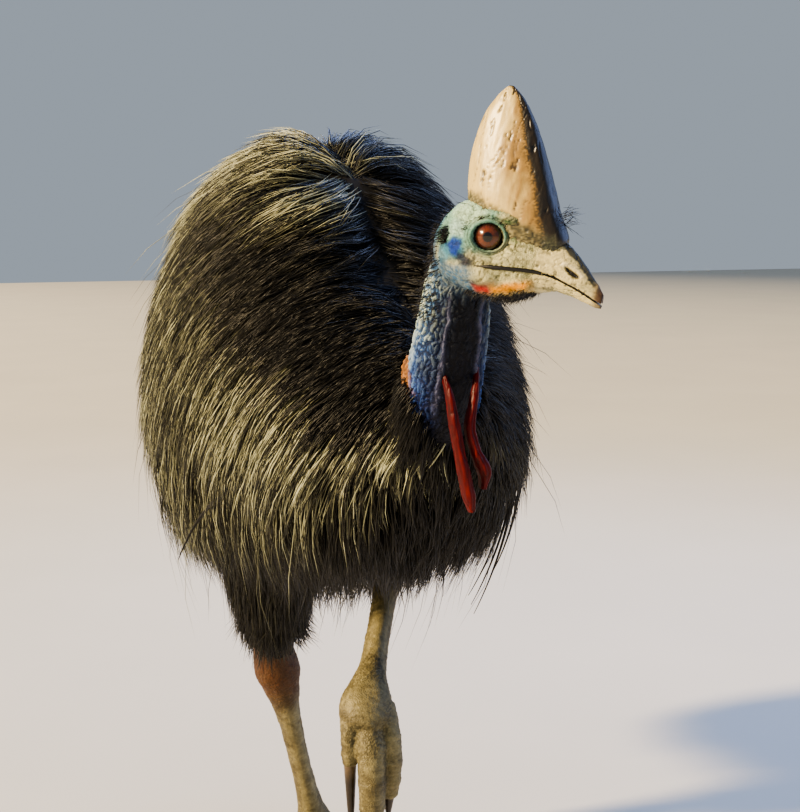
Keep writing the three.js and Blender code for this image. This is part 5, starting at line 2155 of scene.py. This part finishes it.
@dataclass
class Studio:
    """A pale floor, soft lights, and a camera that stands where the photographer stood."""

    lens: float = 55.86  # millimetres, for a 36 mm sensor along the picture's longer side
    camera: Triple = (-0.495, -1.869, 0.98)
    azimuth: float = -19.0
    dip: float = 7.56
    roll: float = 0.48
    sensor: float = 36.0
    sky: tuple[float, float, float, float] = (0.74, 0.84, 0.96, 1.0)
    sky_strength: float = 0.4
    half: float = 30.0  # half the floor's side, in metres

    def shoot(self) -> None:
        """Set the camera."""
        data = bpy.data.cameras.new("camera")
        data.lens = self.lens
        data.sensor_width = self.sensor
        data.sensor_height = self.sensor
        data.sensor_fit = "AUTO"
        camera = bpy.data.objects.new("camera", data)
        azimuth, dip = math.radians(self.azimuth), math.radians(self.dip)
        level = Vector((-math.sin(azimuth), math.cos(azimuth), 0))
        look = level * math.cos(dip) - Vector((0, 0, math.sin(dip)))
        right = Vector((math.cos(azimuth), math.sin(azimuth), 0))
        over = right.cross(look)
        turn = Matrix((right, over, -look)).transposed() @ Matrix.Rotation(math.radians(-self.roll), 3, "Z")
        camera.matrix_world = Matrix.Translation(self.camera) @ turn.to_4x4()
        bpy.context.scene.collection.objects.link(camera)
        bpy.context.scene.camera = camera

    def build(self) -> None:
        """Lay the floor, hang the lights and set the picture's contrast."""
        bpy.context.scene.view_settings.look = "AgX - Medium High Contrast"
        floor = make("floor", self.floor(), [self.paper()])
        for light in LIGHTS:
            light.hang()
        world = bpy.data.worlds.new("studio")
        world.use_nodes = True
        sky = world.node_tree.nodes["Background"]
        sky.inputs["Color"].default_value = self.sky
        sky.inputs["Strength"].default_value = self.sky_strength
        bpy.context.scene.world = world

    def floor(self) -> Shape:
        """A wide flat sheet, its top level with the bird's sole.

        Returns:
            Its surface, with its colour.
        """
        corners = [(x * self.half, y * self.half) for x, y in ((-1, -1), (1, -1), (1, 1), (-1, 1))]
        rings = [[[x, y, z] for x, y in corners] for z in (-0.02, 0.0)]
        shape = loft(np.array(rings))
        shape.colours = plain("#d9d4ca", len(shape.points))
        return shape

    def paper(self) -> Material:
        """Matt studio paper."""
        return Finish("matt studio paper", 0.9, 1.45, (0.97, 1.02), 900.0, bump=0.0).material()


def main() -> None:
    """Build the bird in order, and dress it."""
    logging.basicConfig(level=logging.INFO, format="%(message)s")
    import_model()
    studio = Studio()
    studio.shoot()
    plumage = PLUMAGE.material()
    trunk, neck, head = Trunk(), Neck(), Head()
    legs = [planted_leg(), lifted_leg()]
    skins = [finish.material() for finish in (FACE_SKIN, LEG_SCALE, UNDER_SKIN)]
    Skin(trunk, neck, head, legs).dress(skins, plumage)
    bill = BILL_HORN.material()
    place("casque_horn", head.casque(), [CASQUE_HORN.material()], "casque_horn", ["casque"])
    place("upper_bill", head.bill(True), [bill], "bill_horn", ["bill_upper"])
    place("lower_bill", head.bill(False), [bill], "bill_horn", ["bill_lower"])
    # Painted shade in the mouth's parting
    place("mouth_gap_shade", head.mouth_gap_shade(), [bill], "bill_horn")
    eye, claw, red, quill = (finish.material() for finish in (EYE_WET, CLAW_HORN, WATTLE_SKIN, QUILL_HORN))
    for side in Side:
        place(f"eyeball_{side.word}", head.eye(side), [eye], "eye", [f"eye_{side.word}"])
    for wattle in wattles():
        word = wattle.side.word
        place(f"red_wattle_{word}", wattle.shape(), [red], "wattle_skin", [f"wattle_{word}"])
    wings = [
        Wing(Side.LEFT, (134, -341, 477), (16, -4, -8)),
        Wing(Side.RIGHT, (-236, -176, 545), (9, 96, 30)),
    ]
    for wing in wings:
        word = wing.side.word
        place(f"quills_{word}", wing.shape(), [quill], "quill_horn", [f"wing_{word}"])
    for leg in legs:
        for name, shape in leg.claws().items():
            node = f"claw_{name}_{leg.side.word}"
            place(f"horn_{node}", shape, [claw], "claw_horn", [node])
        leg.plumage(plumage)
    Coat(trunk).dress(plumage, neck)
    neck.collar(plumage)
    studio.build()


if __name__ == "__main__":
    main()
